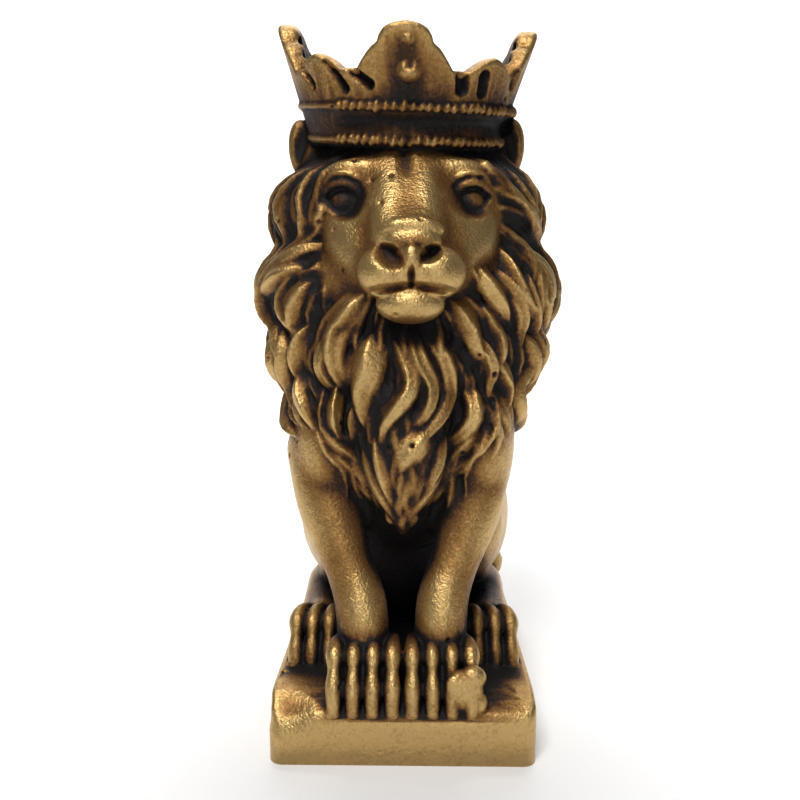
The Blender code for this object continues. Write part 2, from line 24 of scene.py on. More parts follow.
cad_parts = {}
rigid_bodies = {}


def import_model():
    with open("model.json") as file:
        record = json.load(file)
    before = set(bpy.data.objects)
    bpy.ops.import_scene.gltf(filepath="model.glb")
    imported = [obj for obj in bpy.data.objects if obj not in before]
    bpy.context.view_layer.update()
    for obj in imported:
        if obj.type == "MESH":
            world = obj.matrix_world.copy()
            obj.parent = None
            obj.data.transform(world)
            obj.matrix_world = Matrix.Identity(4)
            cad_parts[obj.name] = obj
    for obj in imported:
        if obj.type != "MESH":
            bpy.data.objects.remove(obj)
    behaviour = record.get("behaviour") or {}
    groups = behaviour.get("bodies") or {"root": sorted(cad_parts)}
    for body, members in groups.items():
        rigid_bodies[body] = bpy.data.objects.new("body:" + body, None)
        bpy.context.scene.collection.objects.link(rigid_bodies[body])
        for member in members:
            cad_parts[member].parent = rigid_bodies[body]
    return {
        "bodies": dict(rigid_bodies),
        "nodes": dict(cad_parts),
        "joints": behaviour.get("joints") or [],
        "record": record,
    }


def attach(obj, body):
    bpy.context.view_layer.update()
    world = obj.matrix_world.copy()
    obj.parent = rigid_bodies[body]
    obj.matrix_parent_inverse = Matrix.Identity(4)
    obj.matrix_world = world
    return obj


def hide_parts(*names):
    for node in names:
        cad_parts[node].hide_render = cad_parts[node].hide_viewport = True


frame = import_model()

log = logging.getLogger("lion_statue")

CAD_NODE = "lion_statue"
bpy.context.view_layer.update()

Triple = tuple[float, float, float]
Station = tuple[float, float, float, float]
Colour = tuple[float, float, float, float]
Socket = bpy.types.NodeSocket

PLINTH_WIDTH = 0.076
PLINTH_DEPTH = 0.112
PLINTH_HEIGHT = 0.019
FIGURE_HEIGHT = 0.200
STEP = FIGURE_HEIGHT / 200
PAW_SINK = 0.001
LOCK_FLUTES = 5


class Side(Enum):
    """The viewer's left or right, as the sign of X there."""

    LEFT = -1
    RIGHT = 1


def place(x: float, y: float, z: float) -> Vector:
    """A point of the figure, from steps right, back and up from the middle of its footprint."""
    return Vector((x * STEP, y * STEP, z * STEP + PLINTH_HEIGHT - PAW_SINK))


def clamp(value: float, low: float = 0.0, high: float = 1.0) -> float:
    """The value, kept between two limits."""
    return max(low, min(high, value))


def smooth_route(points: list[np.ndarray], count: int) -> list[np.ndarray]:
    """Resamples a Catmull-Rom curve.

    Args:
        points: The curve's own points; any further numbers in them, such as a radius, are blended too.
        count: How many points to return.

    Returns:
        Points at even steps of the curve's parameter, ends included.
    """
    ends = [2 * points[0] - points[1], *points, 2 * points[-1] - points[-2]]
    spans = len(points) - 1
    route = []
    for k in range(count):
        at = k / (count - 1) * spans
        i = min(int(at), spans - 1)
        t = at - i
        a, b, c, d = ends[i : i + 4]
        bend = (2 * a - 5 * b + 4 * c - d) * t**2 + (3 * b - a - 3 * c + d) * t**3
        route.append(0.5 * (2 * b + (c - a) * t + bend))
    return route


@cache
def unit_ball(fineness: int) -> tuple[list[Vector], list[tuple[int, ...]]]:
    """The points and faces of a unit ball made of even triangles.

    Args:
        fineness: How finely its triangles are split.

    Returns:
        Its points, and each face as their numbers.
    """
    work = bmesh.new()
    bmesh.ops.create_icosphere(work, subdivisions=fineness, radius=1)
    points = [vert.co.copy() for vert in work.verts]
    faces = [tuple(vert.index for vert in face.verts) for face in work.faces]
    work.free()
    return points, faces


class Clay:
    """A heap of overlapping closed forms that is fused into one skin."""

    def __init__(self, start: bpy.types.Mesh | None = None) -> None:
        """Starts a heap, with the skin of an earlier one in it if there is one.

        Args:
            start: The skin of an earlier heap.
        """
        self.work = bmesh.new()
        if start:
            self.work.from_mesh(start)

    def ball(self, matrix: Matrix, fineness: int = 4) -> None:
        """Adds a unit ball, placed and stretched by a matrix.

        Args:
            matrix: From the unit ball to its place and shape.
            fineness: How finely its triangles are split.
        """
        points, faces = unit_ball(fineness)
        made = [self.work.verts.new(matrix @ point) for point in points]
        for face in faces:
            self.work.faces.new([made[k] for k in face])

    def lump(self, centre: Triple, radii: Triple, tilt: Triple = (0, 0, 0)) -> None:
        """Adds an ellipsoid.

        Args:
            centre: Its middle, in steps.
            radii: Its half sizes, in steps.
            tilt: Its turn about X, Y and Z, in degrees.
        """
        turn = Euler([math.radians(angle) for angle in tilt]).to_matrix().to_4x4()
        size = Matrix.Diagonal([radius * STEP for radius in radii]).to_4x4()
        self.ball(Matrix.Translation(place(*centre)) @ turn @ size)

    def loft(self, rings: list[list[Vector]], closed: bool = False) -> None:
        """Skins a row of rings that have as many points each.

        Args:
            rings: The rings, in order.
            closed: Whether the last ring joins the first; otherwise the two ends get flat caps.
        """
        made = [[self.work.verts.new(point) for point in ring] for ring in rings]
        size = len(made[0])
        pairs = list(zip(made, made[1:] + made[:1] if closed else made[1:]))
        for low, high in pairs:
            for k in range(size):
                self.work.faces.new((low[k], low[(k + 1) % size], high[(k + 1) % size], high[k]))
        if not closed:
            self.work.faces.new(made[0])
            self.work.faces.new(made[-1])

    def strand(
        self, centres: list[Vector], normals: list[Vector], widths: list[float], heights: list[float],
        flutes: float = 0.0, phase: float = 0.0, crest: float = 1.0, sides: int = 18
    ) -> None:
        """Sweeps an oval along a route.

        Args:
            centres: The route's points.
            normals: Which way is up for the oval at each point.
            widths: Half the oval's width at each point.
            heights: Half the oval's height at each point.
            flutes: How deep its upper side is combed, as a share of its size.
            phase: Where the combing starts, in radians round the oval.
            crest: 1 for an oval; more than 1 draws its top up to a crest.
            sides: How many points the oval has.
        """
        rings = []
        last = len(centres) - 1
        for i, centre in enumerate(centres):
            along = (centres[min(i + 1, last)] - centres[max(i - 1, 0)]).normalized()
            across = normals[i].cross(along).normalized()
            up = along.cross(across).normalized()
            ring = []
            for k in range(sides):
                angle = 2 * math.pi * k / sides
                rise = math.copysign(abs(math.sin(angle)) ** crest, math.sin(angle))
                comb = 1 + flutes * math.cos(LOCK_FLUTES * angle + phase) * max(0.0, rise)
                offset = across * (widths[i] * math.cos(angle)) + up * (heights[i] * rise * comb)
                ring.append(centre + offset)
            rings.append(ring)
        self.loft(rings)

    def limb(self, stations: list[Station], count: int = 18) -> None:
        """Adds a round tapered limb with rounded ends.

        Args:
            stations: (x, y, z, radius) along it, in steps.
            count: How many rings it is made of.
        """
        route = smooth_route([np.array(station, float) for station in stations], count)
        centres = [place(*point[:3]) for point in route]
        radii = [point[3] * STEP for point in route]
        spine = (centres[-1] - centres[0]).normalized()
        side = Vector((1, 0, 0)) if abs(spine.x) < 0.8 else Vector((0, 0, 1))
        self.strand(centres, [side] * count, radii, radii)
        for centre, radius in ((centres[0], radii[0]), (centres[-1], radii[-1])):
            self.ball(Matrix.Translation(centre) @ Matrix.Scale(radius, 4), fineness=3)

    def fuse(self, grain: float, passes: int) -> bpy.types.Mesh:
        """Fuses the heap.

        Args:
            grain: The size of the grid it is fused on.
            passes: How many smoothing passes soften it.

        Returns:
            One closed skin round everything in the heap, which is emptied.
        """
        bmesh.ops.recalc_face_normals(self.work, faces=self.work.faces)
        mesh = bpy.data.meshes.new("clay")
        self.work.to_mesh(mesh)
        self.work.free()
        holder = bpy.data.objects.new("clay", mesh)
        bpy.context.scene.collection.objects.link(holder)
        remesh = holder.modifiers.new("Fuse", "REMESH")
        remesh.mode = "VOXEL"
        remesh.voxel_size = grain
        soften = holder.modifiers.new("Soften", "SMOOTH")
        soften.factor = 0.5
        soften.iterations = passes
        return applied(holder)


def applied(holder: bpy.types.Object) -> bpy.types.Mesh:
    """The mesh of an object with its modifiers applied; the object is removed.

    Args:
        holder: The object, which is in the scene.

    Returns:
        Its mesh as the modifiers leave it.
    """
    graph = bpy.context.evaluated_depsgraph_get()
    mesh = bpy.data.meshes.new_from_object(holder.evaluated_get(graph))
    bpy.data.objects.remove(holder, do_unlink=True)
    return mesh


class Skin:
    """The points of a fused skin, which carving tools push about."""

    def __init__(self, mesh: bpy.types.Mesh) -> None:
        """Reads the points and outward directions of a mesh.

        Args:
            mesh: The mesh that is carved.
        """
        self.mesh = mesh
        self.points = self._read("co")
        self.normals = self._read("normal")

    def _read(self, name: str) -> np.ndarray:
        """One vector for each vertex, as an array with a row each.

        Args:
            name: The vertices' own name for it.

        Returns:
            A row of three numbers for each vertex.
        """
        values = np.empty(len(self.mesh.vertices) * 3, np.float32)
        self.mesh.vertices.foreach_get(name, values)
        return values.reshape(-1, 3).astype(float)

    def in_steps(self) -> tuple[np.ndarray, np.ndarray, np.ndarray]:
        """The points' places on the figure, in steps right, back and up, as place() takes them."""
        x, y, z = (self.points / STEP).T
        return x, y, z - (PLINTH_HEIGHT - PAW_SINK) / STEP

    def write(self) -> None:
        """Puts the moved points back into the mesh."""
        self.mesh.vertices.foreach_set("co", self.points.astype(np.float32).ravel())
        self.mesh.update()

    def press(
        self, centre: Triple, radii: Triple, depth: float, turn: float = 0.0, towards: Triple = (0, 1, 0)
    ) -> None:
        """Pushes an oval of the skin in one direction.

        Args:
            centre: The oval's middle, in steps.
            radii: Its reach across, up and in depth, in steps.
            depth: How far its middle moves, in steps; a negative depth pulls it out.
            turn: The oval's turn about the viewing axis, in radians.
            towards: Which way the skin moves.
        """
        away = (self.points - np.array(place(*centre))) / STEP
        cosine, sine = math.cos(turn), math.sin(turn)
        across = away[:, 0] * cosine + away[:, 2] * sine
        up = -away[:, 0] * sine + away[:, 2] * cosine
        far = (across / radii[0]) ** 2 + (up / radii[1]) ** 2 + (away[:, 1] / radii[2]) ** 2
        strength = np.clip(1 - far, 0, 1) ** 1.5 * depth * STEP
        self.points += np.array(towards) * strength[:, None]

    def gouge(self, route: list[Vector], width: float, depth: float) -> None:
        """Draws a round-bottomed groove along a route.

        Args:
            route: Points near the skin, in metres.
            width: Half the groove's width.
            depth: How deep it is; a negative depth raises a ridge.
        """
        line = np.array([tuple(point) for point in route])
        low, high = line.min(0) - width, line.max(0) + width
        near = np.nonzero(np.all((self.points > low) & (self.points < high), axis=1))[0]
        if not len(near):
            return
        spots = self.points[near]
        gap = np.full(len(near), np.inf)
        for start, end in zip(line, line[1:]):
            span = end - start
            along = np.clip((spots - start) @ span / max(span @ span, 1e-12), 0, 1)
            gap = np.minimum(gap, np.linalg.norm(spots - start - along[:, None] * span, axis=1))
        strength = np.clip(1 - (gap / width) ** 2, 0, 1) ** 1.5 * depth
        self.points[near] -= self.normals[near] * strength[:, None]

    def pit(self, centre: Vector, radius: float, depth: float) -> None:
        """Sinks a small round hole, like one left by a bubble."""
        self.gouge([centre, centre], radius, depth)


@dataclass
class Body:
    """The trunk, the mane's mass, the legs, the paws and the tail."""

    lean: float = -1.5
    front_toes: tuple[float, ...] = (2.9, 8.5, 14.0, 19.4)
    hind_toes: tuple[float, ...] = (17.8, 23.0, 28.3, 33.2)

    def trunk(self, clay: Clay) -> None:
        """Chest, belly, back and rump.

        Args:
            clay: The heap that the forms are added to.
        """
        clay.lump((0, -12, 68), (26, 24, 36))
        clay.lump((0, 14, 34), (27, 30, 36))
        clay.lump((0, 12, 70), (25, 27, 44), (-14, 0, 0))
        clay.lump((0, 28, 26), (28, 23, 26))

    def mane_mass(self, clay: Clay) -> None:
        """The soft mass that the locks lie on.

        Args:
            clay: The heap that the forms are added to.
        """
        clay.lump((0.9, -8, 115), (44.5, 31, 28))
        clay.lump((0.7, -5, 138), (42.2, 31, 22))
        clay.lump((1, 1, 150), (33, 31, 18))
        clay.lump((0.6, -11, 96), (40.9, 28, 20))
        clay.lump((0, 16, 104), (31, 19, 40))
        bib = [(-22.5, 88, 17.5), (-30.5, 74, 13.5), (-36, 61, 8.5), (-39, 50, 4), (-40, 45, 2)]
        clay.limb([(0, y, z, radius) for y, z, radius in bib])

    def legs(self, clay: Clay, side: Side) -> None:
        """One foreleg, and the folded hind leg behind it.

        Args:
            clay: The heap that the forms are added to.
            side: The viewer's left or right.
        """
        s = side.value
        clay.lump((s * 23, 12, 38), (13.5, 28, 23), (-12, 0, 0))
        clay.lump((s * 23, -7, 39), (10, 12, 13))
        clay.limb([(s * 24, -6, 33, 8.5), (s * 24, 8, 19, 6.5), (s * 27, 22, 9, 7.5)])
        clay.limb([(s * 29, 24, 7, 7.5), (s * 28, -6, 7, 7), (s * 26.5, -18, 8, 7.5)])
        clay.lump((s * 22.5, -20, 70), (12, 17, 27))
        upper = [(23.5, -20, 66, 12), (21.3, -27, 49, 10.1), (15.9, -34, 34, 7.6)]
        lower = [(12.2, -38, 24, 8), (11.4, -41, 15, 8), (11, -42, 8, 7.5)]
        clay.limb([(self.lean * z / 66 + s * x, y, z, radius) for x, y, z, radius in upper + lower])
        clay.lump((s * 11.2, -43.5, 4.5), (10.6, 9, 8))
        clay.lump((s * 25.5, -22.5, 4.5), (9.5, 9, 7.5))

    def toes(self, clay: Clay, side: Side) -> None:
        """Slender toes, each with a round knuckle, a waist, a pad and a small claw.

        Args:
            clay: The heap that the forms are added to.
            side: The viewer's left or right.
        """
        for offsets, front, lift in ((self.front_toes, -55, 0), (self.hind_toes, -33, 0.6)):
            for offset in offsets:
                x = side.value * offset
                toe = [
                    (x * 0.94, front + 14, 13.0 + lift, 1.7),
                    (x * 0.98, front + 9, 13.6 + lift, 2.2),
                    (x, front + 5.6, 11.6 + lift, 2.7),
                    (x, front + 3.4, 8.2 + lift, 1.9),
                    (x, front + 1.6, 4.4 + lift, 2.5),
                    (x, front + 0.4, 0.6, 2.2),
                    (x, front + 0.4, -2.2 + lift, 2.0),
                ]
                clay.limb(toe, count=22)

    def spill(self, clay: Clay) -> None:
        """The lump of resin that a flaw of the mould left over the outer toes of the right paw.

        Args:
            clay: The heap that the forms are added to.
        """
        clay.lump((17.0, -54.0, 3.4), (5.8, 2.8, 6.6), (0, 6, 0))
        clay.lump((19.6, -53.6, 7.2), (4.0, 2.8, 3.6))
        clay.lump((21.4, -54.0, -0.4), (2.6, 2.0, 3.4), (0, 12, 0))
        clay.lump((14.6, -55.5, 5.4), (2.4, 1.2, 3.4), (0, -14, 0))

    def shade(self, skin: Skin) -> np.ndarray:
        """How dark each point is painted: painted shade between the forelegs over a real dark wash, painted
        shade at the cuffs and between the toes, and darker on the plinth's top round the figure.

        Args:
            skin: The skin whose points are looked at.

        Returns:
            A value from 0 to 1 for each point.
        """
        x, y, z = skin.in_steps()
        # Painted shade between the forelegs, over a real dark wash, and at the cuffs; darker on the
        # plinth's top round the figure.
        aside = np.clip((12 - np.abs(x - self.lean / 2)) / 3, 0, 1)
        below = np.clip((54 - z) / 5, 0, 1) * np.clip((z + 2) / 6, 0, 1)
        between = aside * below * np.clip((y + 41) / 5, 0, 1)
        cuff = 0.5 * np.clip(1 - np.abs(z - 16) / 3, 0, 1) * (np.abs(x) < 23) * (y < -38)
        ground = 0.30 * np.clip(1 - np.abs(z) / 2.5, 0, 1) * (np.hypot(x / 36, (y + 30) / 30) < 1)
        return np.maximum.reduce([between, cuff, ground, self.toe_gaps(x, y, z)])

    def toe_gaps(self, x: np.ndarray, y: np.ndarray, z: np.ndarray) -> np.ndarray:
        """Which points, given in steps, lie deep between two toes.

        Args:
            x: How far right each point is.
            y: How far back it is.
            z: How far up it is.

        Returns:
            A value from 0 to 1 for each point.
        """
        # Painted shade goes into these gaps between the toes.
        found = np.zeros(len(x))
        for offsets, front, back in ((self.front_toes, -56, -43), (self.hind_toes, -34, -21)):
            away = np.min([np.abs(np.abs(x) - offset) for offset in offsets], axis=0)
            beside = (np.abs(x) > offsets[0]) & (np.abs(x) < offsets[-1])
            reach = beside & (y > front) & (y < back) & (z < 15)
            found = np.maximum(found, np.clip((away - 1.2) / 0.7, 0, 1) * reach)
        return found

    def tail(self, clay: Clay) -> None:
        """The tail, curled to the right behind the haunch, with a tuft at its end.

        Args:
            clay: The heap that the forms are added to.
        """
        route = [(0, 44, 16, 6), (8, 49, 7, 4.6), (20, 48, 5, 4.2), (29, 41, 6, 4.4)]
        tuft = [(32, 33, 12, 5.6), (31, 31, 21, 2)]
        clay.limb(route + tuft)


@dataclass
class Head:
    """The skull and the face, which looks along -Y under the crown."""

    eyes: dict[Side, float] = field(default_factory=lambda: {Side.LEFT: -16.7, Side.RIGHT: 18.7})
    eye_height: float = 140.3
    eye_depth: float = -29.8
    eye_slant: float = 0.45

    def soft_forms(self, clay: Clay) -> None:
        """Skull, face, bridge of the nose, cheeks and jaw, before they are softened.

        Args:
            clay: The heap that the forms are added to.
        """
        clay.lump((1, -12, 142), (26, 25, 22))
        clay.lump((2, -20, 137), (28.5, 16.5, 20))
        clay.lump((2.2, -27, 121), (19, 14, 12))
        clay.lump((0.8, -27, 147), (16, 9, 9))
        for side in Side:
            s = side.value
            bridge = [(4.4, -28.5, 149, 5.8), (4.2, -35.5, 140, 6.4), (4.6, -43.5, 130, 5.8)]
            clay.limb([(1.3 + s * x, y, z, radius) for x, y, z, radius in bridge])
            cheek = [(19.5, -22.5, 136, 8.5), (14.5, -28, 129.5, 11), (8.5, -34.5, 122, 10.5)]
            clay.limb([(2 + s * x, y, z, radius) for x, y, z, radius in cheek])
            clay.lump((2 + s * 15, -22, 128), (12, 12, 13), (0, s * 25, 0))
            clay.lump((2 + s * 10, -29.5, 133), (8, 11.8, 12.5), (0, s * 15, 0))
            clay.lump((2.3 + s * 6.5, -43.6, 119.6), (8.6, 8.6, 7.8), (0, 0, s * 14))
            middle = self.eyes[side]
            brow = [(-9, 0.2, 8.0, 2.6), (-4, -0.8, 9.6, 2.9), (3, 1.0, 9.2, 2.7), (9.5, 4.6, 5.4, 2.0)]
            clay.limb([self.by_eye(middle, s, *point) for point in brow])
        clay.limb([(1.3, -27.5, 149, 6), (1.4, -34.6, 140, 6.5), (2.4, -43, 130, 6)])
        clay.lump((2.5, -43.4, 130.4), (9.6, 7.0, 5.4), (-30, 0, 0))
        clay.lump((2.3, -41, 120), (14.5, 11.5, 9))

    def sockets(self, skin: Skin) -> None:
        """Hollows for the eyes."""
        for side, middle in self.eyes.items():
            skin.press((middle, -33, self.eye_height), (9.6, 6.8, 10), 5.4, side.value * self.eye_slant)

    def features(self, clay: Clay) -> None:
        """Whisker pads, eyes, lids, ears, nose, chin and lower lip, laid on the softened head.

        Args:
            clay: The heap that the forms are added to.
        """
        for side, middle in self.eyes.items():
            s = side.value
            clay.lump((2.3 + s * 6.8, -45.0, 119.8), (8.2, 7.6, 7.2), (0, 0, s * 14))
            clay.lump((middle, self.eye_depth + 1.7, self.eye_height), (4.9, 4.4, 4.2))
            for arc in self.lids():
                clay.limb([self.by_eye(middle, s, *point) for point in arc])
            clay.lump((0.5 + s * 32.6, -5, 159), (4.6, 4.5, 9.5), (0, s * 6, s * -20))
            clay.lump((0.5 + s * 26.5, -4, 155), (8, 8, 9))
        clay.lump((2.5, -46.4, 131.0), (8.8, 4.4, 3.2), (-35, 0, 0))
        clay.lump((2.7, -47.4, 127.8), (7.8, 3.8, 4.6))
        clay.lump((2.9, -49.9, 124.7), (4.8, 2.4, 1.7))
        clay.lump((2.4, -51.2, 123.4), (2.4, 2.6, 4.0))
        clay.lump((2.0, -43.5, 111.2), (9.6, 7.5, 5.6))
        clay.lump((2.0, -46.9, 112.9), (7.6, 3.4, 2.8))

    def lids(self) -> tuple[list[Station], ...]:
        """The lids' stations about the eye's middle, with +X away from the nose; the upper one is double.

        Returns:
            The upper lid, the fold above it and the lower lid.
        """
        inner, outer = (-6.8, -0.2, -3.4, 1.1), (7.2, 1.8, 1.8, 1.2)
        upper = [inner, (-4.9, -1.6, 1.0, 1.1), (-1.6, -2.6, 4.3, 1.2), (2.8, -1.8, 4.8, 1.2), outer]
        fold = [(-6.8, -1, 1.8, 0.8), (-4.8, -2.2, 5.4, 0.9), (-0.8, -2.8, 7.6, 0.9), (4, -1.2, 7.2, 0.9)]
        lower = [inner, (-4.6, -1.2, -5.6, 1.7), (-0.6, -1.6, -5.8, 1.9), (3.8, -0.2, -3.6, 1.7), outer]
        return upper, [*fold, outer], lower

    def by_eye(self, middle: float, s: int, x: float, y: float, z: float, radius: float) -> Station:
        """A station given about the middle of an eye, as one on the figure."""
        return (middle + s * x, self.eye_depth + y, self.eye_height + z, radius)

    def carve(self, skin: Skin) -> None:
        """Nostrils, mouth, the ears' hollows, the cleft of the lip and the furrow of the forehead.

        Args:
            skin: The skin that is cut.
        """
        skin.press((-3.8, -49, 123.6), (5.2, 3.8, 8), 4.2, -0.7)
        skin.press((7.6, -49, 124.4), (4.0, 2.8, 8), 3.8, 0.45)
        for side in Side:
            s = side.value
            skin.press((2.3 + s * 6.0, -49, 115.4), (9.0, 1.6, 12), 2.6, s * -0.16)
            skin.press((0.5 + s * 32.8, -9, 160), (2.8, 6.5, 8), 1.6, s * 0.1)
        skin.press((2.3, -51, 118.6), (1.3, 4.4, 9), 2.8)
        skin.press((0.4, -38, 153.5), (3.4, 8, 10), 1.8)

    def shade(self, skin: Skin) -> np.ndarray:
        """How dark each point is painted: a dark wash left in the eyes, above all the left one, with
        painted shade in their deep hollows, painted shade on the nose's front plane and painted shadow
        under the chin at the throat.

        Args:
            skin: The skin whose points are looked at.

        Returns:
            A value from 0 to 1 for each point.
        """
        x, y, z = skin.in_steps()
        found = np.zeros(len(x))
        # Dark wash in the eyes, with painted shade in the deep hollows round them.
        for side, middle in self.eyes.items():
            turn = side.value * self.eye_slant
            across = (x - middle) * math.cos(turn) + (z - self.eye_height - 1.5) * math.sin(turn)
            up = -(x - middle) * math.sin(turn) + (z - self.eye_height - 1.5) * math.cos(turn)
            far = (across / 9.6) ** 2 + (up / 6.4) ** 2
            depth = 1.0 if side is Side.LEFT else 0.62
            found = np.maximum(found, depth * np.clip(1.7 * (1 - far), 0, 1) * (y < -18))
        # Painted shade on the nose's front plane and painted shadow under the chin at the throat.
        nose = ((x - 2.8) / 7.0) ** 2 + ((z - 127.8) / 2.4) ** 2
        throat = ((x - 2.2) / 13) ** 2 + ((z - 103.5) / 5.5) ** 2
        found = np.maximum(found, 0.75 * np.clip(1.5 * (1 - nose), 0, 1) * (y < -45))
        return np.maximum(found, 0.75 * np.clip(1.4 * (1 - throat), 0, 1) * (y < -18))

    def wiped(self, skin: Skin) -> np.ndarray:
        """How much each point of the face is painted lighter, from 0 to 1, as a painted highlight.

        Args:
            skin: The skin whose points are looked at.

        Returns:
            A value for each point.
        """
        x, y, z = skin.in_steps()
        # Painted highlight over the face.
        far = ((x - 2.5) / 33) ** 2 + ((z - 132) / 27) ** 2
        return np.clip(2 * (1 - far), 0, 1) * (y < -14)


@dataclass(frozen=True)
class Lock:
    """A curl of hair like a bent leaf.

    Attributes:
        arc: Where its root is, in steps round the mane from the front.
        height: Where its root is, in steps up the figure.
        length: How long it is, in steps.
        width: Half its width where it is widest, in steps.
        turns: Its heading at even stations from root to tip, in degrees from straight down, positive to the
            right.
        relief: How far its belly stands proud, as a share of the mane's relief.
    """

    arc: float
    height: float
    length: float
    width: float
    turns: tuple[float, ...]
    relief: float = 1.0


FRONT_LOCKS = (
    Lock(-9.8, 103, 30, 5.4, (-25, -5, -12, 8, 28), 1.2),
    Lock(-4.0, 105, 42, 3.2, (24, 32, 12, -38, -42, -5, 6)),
    Lock(2.8, 107, 37, 3.4, (8, 18, 30, -10, -48, -52)),
    Lock(0.2, 108, 18, 1.7, (-6, 14, -8), 0.8),
    Lock(10.5, 110, 22, 2.0, (30, -6, 22, 34), 0.9),
    Lock(-6.6, 109, 16, 1.8, (-22, 6, -12), 0.8),
    Lock(-19, 110, 24, 3.2, (-50, -20, 12, 30)),
    Lock(27, 111, 25, 3.0, (52, 24, -8, -34)),
    Lock(34, 116, 24, 3.0, (58, 30, 2, -30)),
    Lock(24, 103, 24, 2.6, (44, 30, -6, -40)),
    Lock(-26, 103, 22, 2.8, (-32, -6, 22, 34)),
    Lock(-34, 106, 24, 3.2, (-44, -14, 16, 34)),
    Lock(6.8, 107, 48, 3.3, (22, 46, 16, -25, -45, -55, -58)),
    Lock(16.5, 112, 24, 4.0, (60, 15, 38), 1.1),
    Lock(21.5, 94, 34, 3.3, (38, 12, -24, -42, -39)),
    Lock(-13.2, 114, 36, 4.8, (-56, -42, -4, 15, 27), 1.2),
    Lock(-33, 117.5, 27, 4.0, (-60, -24, 17, 31)),
    Lock(-37, 122, 23, 4.6, (-80, -58, -56)),
    Lock(-61, 125, 18, 4.0, (-15, 5, 30)),
    Lock(-61, 108, 17, 4.0, (-10, 20, 57)),
    Lock(-38, 95, 23, 3.0, (-6, 35, 25)),
    Lock(-26.5, 89, 19, 2.8, (5, 10, 18)),
    Lock(-17.5, 83, 14, 2.2, (-13, 0, 10)),
    Lock(25, 121, 22, 3.4, (36, 42, 41)),
    Lock(43, 127, 31, 4.0, (65, 20, -10, -45)),
    Lock(60, 123, 19, 4.0, (32, 0, -35)),
    Lock(43, 104, 27, 4.2, (45, 6, -40)),
    Lock(31, 97, 20, 3.0, (46, 20, -24)),
    Lock(8.6, 77, 19, 4.5, (-46, -35, -10), 0.7),
    Lock(20, 69, 29, 3.0, (-50, -45, -27), 0.7),
    Lock(-17, 73, 31, 2.8, (33, 33, 26), 0.7),
    Lock(-9.2, 75, 25, 2.6, (13, 18, 21), 0.7),
    Lock(14.5, 76, 25, 2.8, (-9, -32, -38), 0.7),
    Lock(26.5, 76, 20, 2.4, (-33, -26, -20), 0.6),
    Lock(-28, 76, 23, 2.4, (35, 36, 14), 0.6),
    Lock(-22, 73, 22, 2.6, (8, 34, 10), 0.7),
    Lock(-25, 68, 18, 2.2, (36, 4, 30), 0.55),
    Lock(-20, 64, 15, 2.0, (10, 36, 20), 0.55),
    Lock(-14, 60, 14, 2.0, (34, 8, 28), 0.55),
    Lock(23, 73, 22, 2.6, (-8, -36, -12), 0.7),
    Lock(24, 66, 17, 2.2, (-36, -4, -30), 0.55),
    Lock(18, 63, 15, 2.0, (-10, -36, -20), 0.55),
    Lock(13, 60, 14, 2.0, (-34, -8, -28), 0.55),
)


